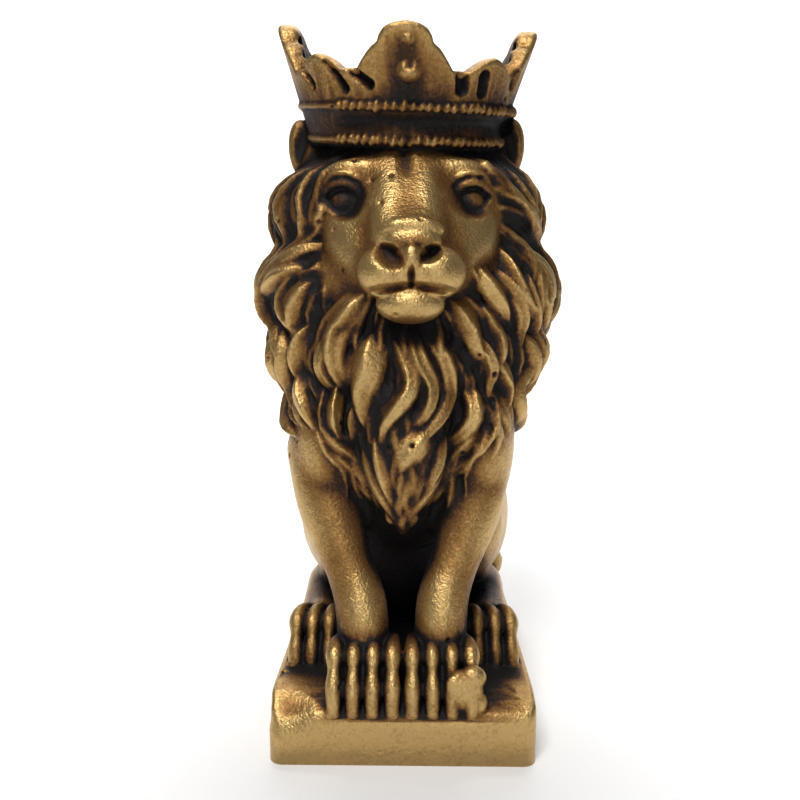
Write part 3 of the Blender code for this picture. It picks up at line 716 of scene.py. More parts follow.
@dataclass
class Mane:
    """Locks that lie on the mane's mass: the large front ones listed one by one and the rest by the hair's
    flow.
    """

    length: float = 29
    width: float = 3.0
    relief: float = 5.0
    spacing: float = 8.8
    seed: int = 7
    face_centre: tuple[float, float] = (2.5, 131.0)
    face_radii: tuple[float, float] = (35.0, 27.0)
    axis_y: float = -8.0
    girth: float = 40.0
    front_arc: float = 44.0
    front_top: float = 120.0
    tip_height: float = 44.0
    flow_rows: int = 16
    undercoat_foot: float = 62.0
    undercoat_top: float = 160.0
    undercoat_spacing: float = 5.5
    fringe_rows: int = 6
    fringe_top: float = 88.0
    fringe_spacing: float = 7.0
    wave: float = 0.6
    wave_height: float = 31.0
    paired: float = 0.6
    fine_width: float = 2.2

    def flow(self, arc: float, height: float) -> float:
        """The hair's heading at a place: it leaves the face and waves down to the mane's tip.

        Args:
            arc: Steps round the mane from the front, positive to the right.
            height: Steps up the figure.

        Returns:
            Radians from straight down, positive to the right.
        """
        across = arc - self.face_centre[0]
        up = height - self.face_centre[1]
        away = math.hypot(across / self.face_radii[0], up / self.face_radii[1])
        outwards = clamp(math.atan2(across, -up), -1.9, 1.9) * clamp(1.7 - away) * 0.75
        gather = -0.55 * clamp(arc / 36, -1, 1) * clamp((104 - height) / 30) * max(0.0, 1 - abs(arc) / 60)
        wave = self.wave * math.sin(2 * math.pi * height / self.wave_height + 0.09 * abs(arc) + 1.2)
        return outwards + gather + wave

    def flowing_locks(self) -> list[Lock]:
        """Rows of locks from the back to the face, with gaps where the front locks are.

        Returns:
            The locks, the ones at the back first.
        """
        dice = random.Random(self.seed)
        found = []
        for row in range(self.flow_rows):
            reach = 1 + row * self.spacing
            radii = (self.face_radii[0] + reach, self.face_radii[1] + reach)
            count = int(2 * math.pi * (radii[0] + radii[1]) / 2 / self.spacing)
            for k in range(count):
                bearing = 2 * math.pi * (k + 0.5 * (row % 2) + dice.uniform(-0.15, 0.15)) / count - math.pi
                jaw = 1 - 0.15 * max(0.0, math.cos(bearing))
                arc = self.face_centre[0] + radii[0] * jaw * math.sin(bearing)
                height = self.face_centre[1] - radii[1] * math.cos(bearing)
                size = dice.uniform(0.85, 1.15)
                curl = dice.choice((-1, 1)) * dice.uniform(0.5, 1.1)
                if self.has_hair(arc, height) and not self.is_front(arc, height):
                    found.append(self.flowing_lock(arc, height, size, curl))
        return found[::-1]

    def has_hair(self, arc: float, height: float) -> bool:
        """Whether a lock may start at a place: over the hem, off the brow and under the tilted crown.

        Args:
            arc: Steps round the mane from the front, positive to the right.
            height: Steps up the figure.

        Returns:
            True if a lock may start there.
        """
        hem = 66 + 22 * min(1.0, abs(arc) / 34) ** 1.3
        top = 161 - 6 * math.cos(arc / self.girth)
        brow = abs(arc) < 31 and height > 139
        return abs(arc) < math.pi * self.girth and hem < height < top and not brow

    def is_front(self, arc: float, height: float) -> bool:
        """Whether that place is covered by the front locks."""
        return abs(arc) < self.front_arc and height < self.front_top

    def flowing_lock(self, arc: float, height: float, size: float, curl: float) -> Lock:
        """A lock that follows the flow from its root and curls at its tip.

        Args:
            arc: Steps round the mane from the front, positive to the right.
            height: Steps up the figure.
            size: Its size as a share of the usual one.
            curl: How far its tip turns off the flow, in radians.

        Returns:
            The lock.
        """
        turns = []
        x, z = arc, height
        steps = 8
        for k in range(steps + 1):
            heading = self.flow(x, z) + curl * (k / steps) ** 2
            turns.append(math.degrees(heading))
            x += self.length * size / steps * math.sin(heading)
            z -= self.length * size / steps * math.cos(heading)
        fine = clamp((height - 124) / 14)
        width = self.width * size * (1 - 0.4 * fine)
        return Lock(arc, height, self.length * size, width, tuple(turns), 1 - 0.35 * fine)

    def undercoat(self, dice: random.Random) -> list[Lock]:
        """Fine short strands all over the mane, under the locks, so that nothing between them is bare.

        Args:
            dice: Where the random draws come from.

        Returns:
            The strands.
        """
        found = []
        reach = math.pi * self.girth
        height = self.undercoat_foot
        while height < self.undercoat_top:
            arc = -reach + dice.uniform(0, 4)
            while arc < reach:
                away = math.hypot((arc - self.face_centre[0]) / self.face_radii[0],
                                  (height - self.face_centre[1]) / self.face_radii[1])
                if self.has_hair(arc, height) and away > 1.0:
                    size = dice.uniform(0.45, 0.75)
                    lock = self.flowing_lock(arc, height, size, dice.uniform(-0.7, 0.7))
                    found.append(Lock(arc, height, lock.length, dice.uniform(1.2, 1.9), lock.turns, 0.34))
                arc += dice.uniform(3.6, 5.2)
            height += self.undercoat_spacing
        return found

    def route(self, lock: Lock, count: int = 14) -> list[tuple[float, float]]:
        """Points (arc, height) down a lock, from its root to its tip.

        Args:
            lock: The lock.
            count: How many points to return.

        Returns:
            The points, in steps.
        """
        stations = np.linspace(0, 1, len(lock.turns))
        arc, height = lock.arc, lock.height
        points = []
        for k in range(count):
            points.append((arc, height))
            heading = math.radians(float(np.interp(k / (count - 1), stations, lock.turns)))
            arc += lock.length / (count - 1) * math.sin(heading)
            height -= lock.length / (count - 1) * math.cos(heading)
        return points

    def on_mass(self, mass: BVHTree, arc: float, height: float) -> tuple[Vector, Vector] | None:
        """The point of the mane's mass at a place, and its outward direction, if there is mass there.

        Args:
            mass: The mane's soft mass.
            arc: Steps round the mane from the front, positive to the right.
            height: Steps up the figure.

        Returns:
            The point and the direction, or None.
        """
        angle = arc / self.girth
        outward = Vector((math.sin(angle), -math.cos(angle), 0))
        found = mass.ray_cast(place(0, self.axis_y, height) + outward * 100 * STEP, -outward)
        return None if found[0] is None else (found[0], (found[1] + outward * 0.5).normalized())

    def lay(self, clay: Clay, mass: BVHTree, lock: Lock, dice: random.Random) -> None:
        """Lays one lock: its root is sunk in the mane and its belly stands proud of it.

        Args:
            clay: The heap that the forms are added to.
            mass: The mane's soft mass.
            lock: The lock.
            dice: Where the random draws come from.
        """
        fine = lock.width < self.fine_width
        route = self.route(lock, count=9 if fine else 15)
        spots = [spot for spot in (self.on_mass(mass, *point) for point in route) if spot]
        count = len(spots)
        if count < 6:
            return
        relief = self.relief * lock.relief * STEP
        centres, normals, widths, heights = [], [], [], []
        for k, (point, normal) in enumerate(spots):
            share = k / (count - 1)
            swell = math.sin(math.pi * (0.12 + 0.85 * share**0.8)) ** 0.85
            rise = math.sin(math.pi * min(1.0, 0.9 * share)) * 0.55 - 0.25
            centres.append(point + normal * relief * rise)
            normals.append(normal)
            widths.append(lock.width * STEP * swell)
            heights.append(relief * 0.72 * swell)
        flutes = 0 if fine else dice.uniform(0.12, 0.24)
        phase = dice.uniform(0, 2 * math.pi)
        clay.strand(centres, normals, widths, heights, flutes, phase, crest=1.5, sides=10 if fine else 30)

    def beside(self, lock: Lock, side: Side, dice: random.Random) -> Lock:
        """A thin strand that runs along one side of a lock.

        Args:
            lock: The lock that it follows.
            side: Which side of the lock.
            dice: Where the random draws come from.

        Returns:
            The strand.
        """
        shift = side.value * lock.width * dice.uniform(0.85, 1.15)
        length = lock.length * dice.uniform(0.8, 1.05)
        turns = tuple(turn + side.value * dice.uniform(-4, 12) for turn in lock.turns)
        start = lock.height + dice.uniform(-2, 2)
        return Lock(lock.arc + shift, start, length, lock.width * 0.34, turns, lock.relief * 0.5)

    def fringe(self, dice: random.Random) -> list[Lock]:
        """Thin wavy strands on the lower chest, drawn together to the mane's tip.

        Args:
            dice: Where the random draws come from.

        Returns:
            The strands, the highest first.
        """
        found = []
        for row in range(self.fringe_rows):
            height = self.fringe_top - self.fringe_spacing * row
            half = 0.80 * (height - self.tip_height)
            count = int(2 * half / 4.2)
            for k in range(count):
                arc = half * (2 * (k + dice.uniform(0.2, 0.8)) / count - 1)
                aim = math.degrees(math.atan2(-arc * 0.9, height - self.tip_height + 6))
                wave = dice.choice((-1, 1)) * dice.uniform(14, 30)
                reach = min(24.0, 0.8 * math.hypot(arc, height - self.tip_height))
                length = reach * dice.uniform(0.8, 1.15)
                turns = (aim + wave, aim - wave, aim + wave, aim - 0.5 * wave)
                if length > 6:
                    width, relief = dice.uniform(1.3, 2.1), dice.uniform(0.3, 0.5)
                    found.append(Lock(arc, height, length, width, turns, relief))
        return found

    def locks(self, clay: Clay, mass: BVHTree) -> int:
        """Lays every lock.

        Args:
            clay: The heap that the forms are added to.
            mass: The mane's soft mass.

        Returns:
            How many there are.
        """
        dice = random.Random(self.seed + 1)
        flowing = self.flowing_locks()
        every = [*self.undercoat(dice), *flowing, *self.fringe(dice)]
        sides = list(Side)
        paired = (lock for lock in flowing if dice.random() < self.paired)
        every += [self.beside(lock, dice.choice(sides), dice) for lock in paired]
        every += [self.beside(lock, side, dice) for lock in FRONT_LOCKS for side in sides]
        every += FRONT_LOCKS
        for lock in every:
            self.lay(clay, mass, lock, dice)
        return len(every)

    def recess(self, skin: Skin, mass: BVHTree) -> np.ndarray:
        """How nearly each point lies on the bare mass between the locks: 1 on it, 0 well clear of it.

        Args:
            skin: The skin whose points are looked at.
            mass: The mane's soft mass.

        Returns:
            A value from 0 to 1 for each point.
        """
        x, y, heights = skin.in_steps()
        found = np.zeros(len(x))
        arcs = self.girth * np.arctan2(x, self.axis_y - y)
        hems = self.tip_height + 40 * np.minimum(1, np.abs(arcs) / 34)
        across = (arcs - self.face_centre[0]) / self.face_radii[0]
        faces = np.hypot(across, (heights - self.face_centre[1]) / 29)
        brows = (np.abs(arcs) < 34) & (heights > 134)
        for i in np.nonzero((heights > hems) & (heights < 157) & (faces > 1.06) & ~brows)[0]:
            spot = Vector(skin.points[i])
            nearest, normal, _, _ = mass.find_nearest(spot)
            found[i] = clamp(1.4 - (spot - nearest).dot(normal) / (self.relief * STEP * 0.36))
        return found


FLEURON_EDGE = (
    (0, 0.0032, 0.0056, 0.0069, 0.0073, 0.0092, 0.0108, 0.0123, 0.0136, 0.0146),
    (0, 0.0005, 0.0016, 0.0034, 0.0050, 0.0061, 0.0078, 0.0096, 0.0112, 0.0135),
)
CROWN_SLITS = (
    (-37.3, 0.0200, -29.3, 0.0134, 0.0018),
    (-23.3, 0.0172, -16.4, 0.0144, 0.0018),
    (-56.9, 0.0190, -50.7, 0.0145, 0.0019),
    (27.0, 0.0170, 28.0, 0.0140, 0.0024),
    (39.0, 0.0172, 40.0, 0.0135, 0.0021),
    (66.0, 0.0190, 64.0, 0.0165, 0.0024),
    (112.0, 0.0180, 114.0, 0.0145, 0.0020),
    (131.0, 0.0180, 132.0, 0.0145, 0.0020),
    (156.0, 0.0172, 153.0, 0.0140, 0.0020),
    (-112.0, 0.0180, -114.0, 0.0145, 0.0020),
    (-134.0, 0.0180, -133.0, 0.0145, 0.0020),
    (-156.0, 0.0172, -153.0, 0.0140, 0.0020),
)


@dataclass
class Crown:
    """A flared ring with four fleurons and four small points round an open hollow."""

    radius: float = 0.0295
    wall: float = 0.0044
    thickening: float = 0.07
    flare: float = 0.317
    skirt: float = 0.0015
    band: float = 0.0089
    roll: float = 0.0012
    floor: float = 0.0068
    valley: float = 0.0185
    front_fleuron: float = 0.0300
    fleuron: float = 0.0322
    point: float = 0.0225
    point_width: float = 0.0172
    gem: float = 0.0030
    easing: float = 0.0016
    tilt: float = math.radians(11)
    lean: float = math.radians(1.8)
    beads: int = 86
    columns: int = 420
    rows: int = 44
    rail_columns: int = 180
    rail_sides: int = 10
    rail_share: float = 0.8
    groove_turn: int = 5
    groove_depth: float = 0.0007
    seam: tuple[float, float] = (-102, -38)
    seat: Triple = (0, -6, 162)
    slit_depth: float = 0.0032
    unwiped: float = 0.22
    seed: int = 3

    def frame(self) -> Matrix:
        """From the crown's own frame, with Z up through its ring, to where it sits on the head."""
        return Matrix.Translation(place(*self.seat)) @ Euler((self.tilt, self.lean, 0)).to_matrix().to_4x4()

    def crest(self, arc: float) -> float:
        """The crest's height at a distance round the ring from the front, at the band's own radius.

        Args:
            arc: Metres round the ring, positive to the right.

        Returns:
            Metres up from the crown's foot.
        """
        quarter = math.pi / 2 * self.radius
        spread = 1 + self.flare * self.valley / self.radius
        near = abs(math.remainder(arc, quarter)) * spread
        between = abs(near - quarter / 2 * spread)
        top = self.front_fleuron if abs(arc) < quarter / 2 else self.fleuron
        height = max(self.valley, top - float(np.interp(near, *FLEURON_EDGE)))
        if between < self.point_width / 2:
            rise = (self.point - self.valley) * (1 - (2 * between / self.point_width) ** 1.5)
            height = max(height, self.valley + rise)
        return height

    def outer(self, height: float) -> float:
        """The outer face's radius at a height."""
        return self.radius + self.flare * height

    def inner(self, height: float) -> float:
        """The hollow's radius at a height."""
        return self.outer(height) - self.wall - self.thickening * height

    def spot(self, degrees: float, height: float, proud: float = 0.0) -> Vector:
        """A point on the outer face, or proud of it, at an angle from the front towards the right.

        Args:
            degrees: The angle.
            height: Metres up from the crown's foot.
            proud: Metres out from the face.

        Returns:
            The point, in the scene.
        """
        angle = math.radians(degrees)
        radius = self.outer(height) + proud
        return self.frame() @ Vector((radius * math.sin(angle), -radius * math.cos(angle), height))

    def inner_spot(self, degrees: float, height: float) -> Vector:
        """A point on the hollow's face."""
        return self.spot(degrees, height, self.inner(height) - self.outer(height))

    def ring(self, clay: Clay) -> None:
        """The cup: up its outer face, over the crest and down inside to the hollow's floor.

        Args:
            clay: The heap that the forms are added to.
        """
        frame = self.frame()
        rings = []
        for row in range(2 * self.rows + 2):
            inside = row > self.rows
            share = (row if not inside else 2 * self.rows + 1 - row) / self.rows
            foot = self.floor if inside else -self.skirt
            ring = []
            eased = self.easing * (1 - math.sqrt(1 - clamp((share - 0.92) / 0.08) ** 2))
            for column in range(self.columns):
                angle = 2 * math.pi * column / self.columns
                arc = math.remainder(angle, 2 * math.pi) * self.radius
                height = foot + (self.crest(arc) - foot) * share
                radius = self.inner(height) + eased if inside else self.outer(height) - eased
                ring.append(frame @ Vector((radius * math.sin(angle), -radius * math.cos(angle), height)))
            rings.append(ring)
        clay.loft(rings)

    def is_smooth(self, degrees: float) -> bool:
        """Whether that side of the crown lost its beads to the mould's seam."""
        return self.seam[0] < degrees < self.seam[1]

    def beadwork(self, clay: Clay) -> None:
        """Two rows of uneven beads on a thin roll, two round bosses on the front fleuron and one on the
        back one.

        Args:
            clay: The heap that the forms are added to.
        """
        dice = random.Random(self.seed)
        for height in (0.0, self.band):
            self.rail(clay, height)
            for k in range(self.beads):
                degrees = math.degrees(math.remainder(2 * math.pi * k / self.beads, 2 * math.pi))
                degrees += dice.uniform(-0.5, 0.5)
                size = self.roll * dice.uniform(0.85, 1.15)
                if self.is_smooth(degrees):
                    continue
                spot = self.spot(degrees, height + dice.uniform(-0.2, 0.2) * self.roll, self.roll * 0.7)
                slant = math.radians(dice.uniform(10, 30))
                twist = Euler((0, slant, math.radians(degrees))).to_matrix().to_4x4()
                shape = Matrix.Diagonal((size * 0.72, size, size * 1.35, 1))
                clay.ball(Matrix.Translation(spot) @ twist @ shape, fineness=3)
        bosses = ((2, 0.0180, self.gem), (1, 0.0255, self.gem * 0.5), (180, 0.0185, self.gem))
        for degrees, height, size in bosses:
            middle = Matrix.Translation(self.spot(degrees, height, -size * 0.15))
            clay.ball(middle @ Matrix.Scale(size, 4), fineness=3)

    def rail(self, clay: Clay, height: float) -> None:
        """A thin roll that runs round the band under a row of beads.

        Args:
            clay: The heap that the forms are added to.
            height: Metres up from the crown's foot.
        """
        frame = self.frame()
        rings = []
        for column in range(self.rail_columns):
            angle = 2 * math.pi * column / self.rail_columns
            ring = []
            for k in range(self.rail_sides):
                turn = 2 * math.pi * k / self.rail_sides
                radius = self.outer(height) + self.roll * self.rail_share * math.cos(turn)
                up = height + self.roll * self.rail_share * math.sin(turn)
                ring.append(frame @ Vector((radius * math.sin(angle), -radius * math.cos(angle), up)))
            rings.append(ring)
        clay.loft(rings, closed=True)

    def shade(self, skin: Skin) -> np.ndarray:
        """The crown was wiped less than the rest."""
        return self.unwiped * (skin.points[:, 2] > self.spot(0, -self.skirt).z)

    def carve(self, skin: Skin) -> None:
        """Slits beside the fleurons and points, the hollow band and the stairs inside the side fleurons.

        Args:
            skin: The skin that is cut.
        """
        for high, top, low, foot, reach in CROWN_SLITS:
            skin.gouge([self.spot(high, top), self.spot(low, foot)], reach, self.slit_depth)
        for side in Side:
            for start, end, height in ((73, 87, 0.0275), (70, 84, 0.0235), (66, 79, 0.0192)):
                stair = [self.inner_spot(side.value * degrees, height) for degrees in (start, end)]
                skin.gouge(stair, 0.0017, 0.0020)
        skin.pit(self.spot(15, 0.0262), 0.0022, 0.0026)
        skin.pit(self.spot(2, 0.0192, self.gem * 0.5), 0.0019, 0.0012)
        for degrees in range(0, 360, self.groove_turn):
            if not self.is_smooth(math.degrees(math.remainder(math.radians(degrees), 2 * math.pi))):
                groove = [self.spot(end, self.band * 0.5) for end in (degrees, degrees + self.groove_turn)]
                skin.gouge(groove, self.band * 0.36, self.groove_depth)


@dataclass
class Plinth:
    """The block that the lion sits on, with a top that slopes down to its front edge."""

    corner: float = 0.004
    rounding: float = 0.0015
    slope_drop: float = 0.0068
    slope_depth: float = 0.013
    corner_steps: int = 8
    side_steps: int = 24
    buried: float = 0.004

    def outline(self, inset: float) -> list[tuple[float, float]]:
        """Points round the plinth's rounded outline, drawn in by a distance.

        Args:
            inset: The distance, in metres.

        Returns:
            Points (x, y), counterclockwise.
        """
        radius = max(self.corner - inset, self.corner * 0.2)
        half = (PLINTH_WIDTH / 2 - inset, PLINTH_DEPTH / 2 - inset)
        corners = ((1, 1), (-1, 1), (-1, -1), (1, -1))
        ring = []
        for corner, (sx, sy) in enumerate(corners):
            for k in range(self.corner_steps + 1):
                angle = math.pi / 2 * (corner + k / self.corner_steps)
                x = sx * (half[0] - radius) + radius * math.cos(angle)
                ring.append((x, sy * (half[1] - radius) + radius * math.sin(angle)))
            if corner in (1, 3):
                x, start = ring[-1]
                far = corners[(corner + 1) % 4][1] * (half[1] - radius)
                steps = range(1, self.side_steps)
                ring.extend((x, start + (far - start) * k / self.side_steps) for k in steps)
        return ring

    def top(self, inset: float, y: float) -> float:
        """The top's height: level, but curved down to the front edge and eased along every edge.

        Args:
            inset: Metres in from the outline.
            y: Metres back from the middle.

        Returns:
            The height in metres.
        """
        into_slope = max(0.0, 1 - (y + PLINTH_DEPTH / 2) / self.slope_depth)
        drop = self.slope_drop * (1 - math.sqrt(max(0.0, 1 - into_slope**2)))
        ease = max(0.0, 1 - inset / self.rounding)
        return PLINTH_HEIGHT - drop - self.rounding * (1 - math.sqrt(1 - ease**2))

    def block(self, clay: Clay) -> None:
        """The block itself; it runs below the floor and is cut there.

        Args:
            clay: The heap that the forms are added to.
        """
        insets = [self.rounding * (1 - math.cos(math.pi / 2 * k / 5)) for k in range(6)]
        insets += [self.rounding + (PLINTH_WIDTH * 0.42 - self.rounding) * k / 8 for k in range(1, 9)]
        rings = [[Vector((x, y, -self.buried)) for x, y in self.outline(0)]]
        rings += [[Vector((x, y, self.top(inset, y))) for x, y in self.outline(inset)] for inset in insets]
        clay.loft(rings)

    def carve(self, skin: Skin) -> None:
        """The worn corner at the left of the front edge."""
        skin.press((-34, -54, -3), (10, 7, 8), 2.4, 0.0, (0.25, 0.45, -0.85))


@dataclass(frozen=True)
class AntiqueGold:
    """Gold paint with a dark wash that was wiped off the high places.

    Attributes:
        gold: The paint where no wash stayed.
        rubbed: The paint on edges that hands have rubbed.
        dull: The paint under a thin film of wash.
        stain: The brown edge of the wash.
        wash: The wash where it is thick.
        bump: How strongly the brushed skin shows.
        bump_height: How high its grains are, in metres.
    """

    gold: Colour = (0.295, 0.160, 0.050, 1)
    rubbed: Colour = (0.55, 0.365, 0.142, 1)
    dull: Colour = (0.150, 0.071, 0.023, 1)
    stain: Colour = (0.046, 0.019, 0.008, 1)
    wash: Colour = (0.006, 0.0045, 0.004, 1)
    bump: float = 0.7
    bump_height: float = 0.0004

    def material(self) -> bpy.types.Material:
        """Builds the shader: the wash, the rubbed edges, the painted shade and the painted highlight come
        from values that the mesh carries.

        Returns:
            The material.
        """
        material = bpy.data.materials.new("antique_gold")
        material.use_nodes = True
        tree = material.node_tree
        shader = tree.nodes["Principled BSDF"]
        link = tree.links.new

        def attribute(name: str) -> Socket:
            """The value that the mesh carries under a name.

            Args:
                name: The value's name.

            Returns:
                Its socket.
            """
            node = tree.nodes.new("ShaderNodeAttribute")
            node.attribute_name = name
            return node.outputs["Fac"]

        def noise(scale: float, detail: float) -> Socket:
            """Even noise over the object.

            Args:
                scale: How fine it is.
                detail: How many finer layers it has.

            Returns:
                Its socket.
            """
            node = tree.nodes.new("ShaderNodeTexNoise")
            node.inputs["Scale"].default_value = scale
            node.inputs["Detail"].default_value = detail
            link(where.outputs["Object"], node.inputs["Vector"])
            return node.outputs["Fac"]

        def ramp(source: Socket, stops: list[tuple[float, Colour]]) -> Socket:
            """Colours along a value.

            Args:
                source: The value.
                stops: The colours and where they stand.

            Returns:
                The colour's socket.
            """
            node = tree.nodes.new("ShaderNodeValToRGB")
            link(source, node.inputs["Fac"])
            elements = node.color_ramp.elements
            while len(elements) < len(stops):
                elements.new(0.5)
            for element, (at, colour) in zip(elements, stops):
                element.position = at
                element.color = colour
            return node.outputs["Color"]

        def grey(value: float) -> Colour:
            """A value as a colour."""
            return (value, value, value, 1)

        def sum_of(a: Socket, b: Socket, share: float) -> Socket:
            """a plus a share of b counted from its middle.

            Args:
                a: The first value.
                b: The second, from 0 to 1.
                share: How much of b is added.

            Returns:
                The sum's socket.
            """
            node = tree.nodes.new("ShaderNodeMath")
            node.operation = "MULTIPLY_ADD"
            link(b, node.inputs[0])
            node.inputs[1].default_value = share
            offset = tree.nodes.new("ShaderNodeMath")
            offset.operation = "ADD"
            link(a, offset.inputs[0])
            offset.inputs[1].default_value = -0.5 * share
            link(offset.outputs[0], node.inputs[2])
            return node.outputs[0]

        where = tree.nodes.new("ShaderNodeTexCoord")
        # The mesh's value carries the wash and also painted shade and a painted highlight.
        height = sum_of(sum_of(attribute("clean_and_lit"), noise(1100, 3), 0.40), noise(160, 4), 0.22)
        washed = [(0.24, self.wash), (0.40, self.stain), (0.55, self.dull)]
        painted = [(0.76, self.gold), (1.0, self.rubbed)]
        link(ramp(height, washed + painted), shader.inputs["Base Color"])
        shader.inputs["Specular IOR Level"].default_value = 0.2
        metal = [(0.3, grey(0.0)), (0.6, grey(0.70)), (0.9, grey(0.85))]
        link(ramp(height, metal), shader.inputs["Metallic"])
        rough = [(0.2, grey(0.62)), (0.5, grey(0.50)), (0.95, grey(0.36))]
        link(ramp(height, rough), shader.inputs["Roughness"])
        bump = tree.nodes.new("ShaderNodeBump")
        bump.inputs["Strength"].default_value = self.bump
        bump.inputs["Distance"].default_value = self.bump_height
        link(sum_of(noise(1400, 3), noise(420, 2), 0.8), bump.inputs["Height"])
        link(bump.outputs["Normal"], shader.inputs["Normal"])
        return material


@dataclass
class Wash:
    """Works out where a dark wash stays: deep in hollows, and not on what stands proud."""

    rays: int = 28
    reach: float = 0.060
    lift: float = 0.0002
    least: float = 0.04
    by_sky: float = 0.62
    by_edge: float = 0.16
    by_form: float = 0.18
    by_recess: float = 0.55
    seed: int = 5

    def lay(self, mesh: bpy.types.Mesh, recess: np.ndarray) -> None:
        """Writes the paint's lightness at each point into the mesh: 0 deep in a hollow, 1 on a proud edge;
        the wash sets it, and painted shade and a painted highlight shift it.

        Args:
            mesh: The statue's skin.
            recess: How much darker than elsewhere each point is painted, up to 1, from the wash and from
                painted shade; below 0 where a painted highlight lightens it.
        """
        skin = Skin(mesh)
        open_sky = self.openness(mesh, skin)
        edges = self.proudness(mesh, skin, 10, 0.0003)
        forms = self.proudness(mesh, skin, 60, 0.0016)
        # recess brings painted shade as well as wash, and a painted highlight where it is negative.
        recess = self.softened(mesh, recess, 1)
        clean_and_lit = self.least + self.by_sky * open_sky + self.by_edge * edges + self.by_form * forms
        clean_and_lit = np.clip(clean_and_lit - self.by_recess * recess, 0, 1)
        attribute = mesh.attributes.new("clean_and_lit", "FLOAT", "POINT")
        attribute.data.foreach_set("value", clean_and_lit.astype(np.float32))
        log.info("clean: %s", np.round(np.percentile(clean_and_lit, (5, 25, 50, 75, 95)), 2))

    def openness(self, mesh: bpy.types.Mesh, skin: Skin) -> np.ndarray:
        """The share of directions in which each point can see out, smoothed over its neighbours.

        Args:
            mesh: The skin's mesh.
            skin: Its points and directions.

        Returns:
            A value for each point.
        """
        work = bmesh.new()
        work.from_mesh(mesh)
        tree = BVHTree.FromBMesh(work)
        work.free()
        dice = np.random.default_rng(self.seed)
        fan = dice.normal(size=(self.rays, 3))
        fan /= np.linalg.norm(fan, axis=1)[:, None]
        seen = np.zeros(len(skin.points))
        for i, (point, normal) in enumerate(zip(skin.points, skin.normals)):
            start = Vector(point + normal * self.lift)
            total = 0.0
            for away in fan + normal * 1.02:
                direction = Vector(away).normalized()
                found = tree.ray_cast(start, direction, self.reach)
                total += 1.0 if found[0] is None else 0.3 * (found[3] / self.reach) ** 2
            seen[i] = total / self.rays
        return self.softened(mesh, seen, 1)

    def proudness(self, mesh: bpy.types.Mesh, skin: Skin, passes: int, full: float) -> np.ndarray:
        """How far each point stands out from its surroundings, from -1 in a groove to 1 on an edge.

        Args:
            mesh: The skin.
            skin: Its points and directions.
            passes: How widely the surroundings are averaged.
            full: The distance that counts as 1.

        Returns:
            A value for each point.
        """
        around = self.softened(mesh, skin.points, passes)
        stands = np.einsum("ij,ij->i", skin.points - around, skin.normals)
        return np.clip(stands / full, -1, 1)

    def softened(self, mesh: bpy.types.Mesh, values: np.ndarray, passes: int) -> np.ndarray:
        """Values for each point, averaged with those of its neighbours.

        Args:
            mesh: The mesh, whose edges join neighbours.
            values: A number or a row for each point.
            passes: How often they are averaged.

        Returns:
            The averaged values.
        """
        edges = np.empty(len(mesh.edges) * 2, np.int32)
        mesh.edges.foreach_get("vertices", edges)
        a, b = edges.reshape(-1, 2).T
        count = np.bincount(a, minlength=len(values)) + np.bincount(b, minlength=len(values))
        columns = values.reshape(len(values), -1)
        for _ in range(passes):
            total = columns.copy()
            for k in range(columns.shape[1]):
                column = columns[:, k]
                total[:, k] += np.bincount(a, column[b], len(values))
                total[:, k] += np.bincount(b, column[a], len(values))
            columns = total / (count + 1)[:, None]
        return columns.reshape(values.shape)


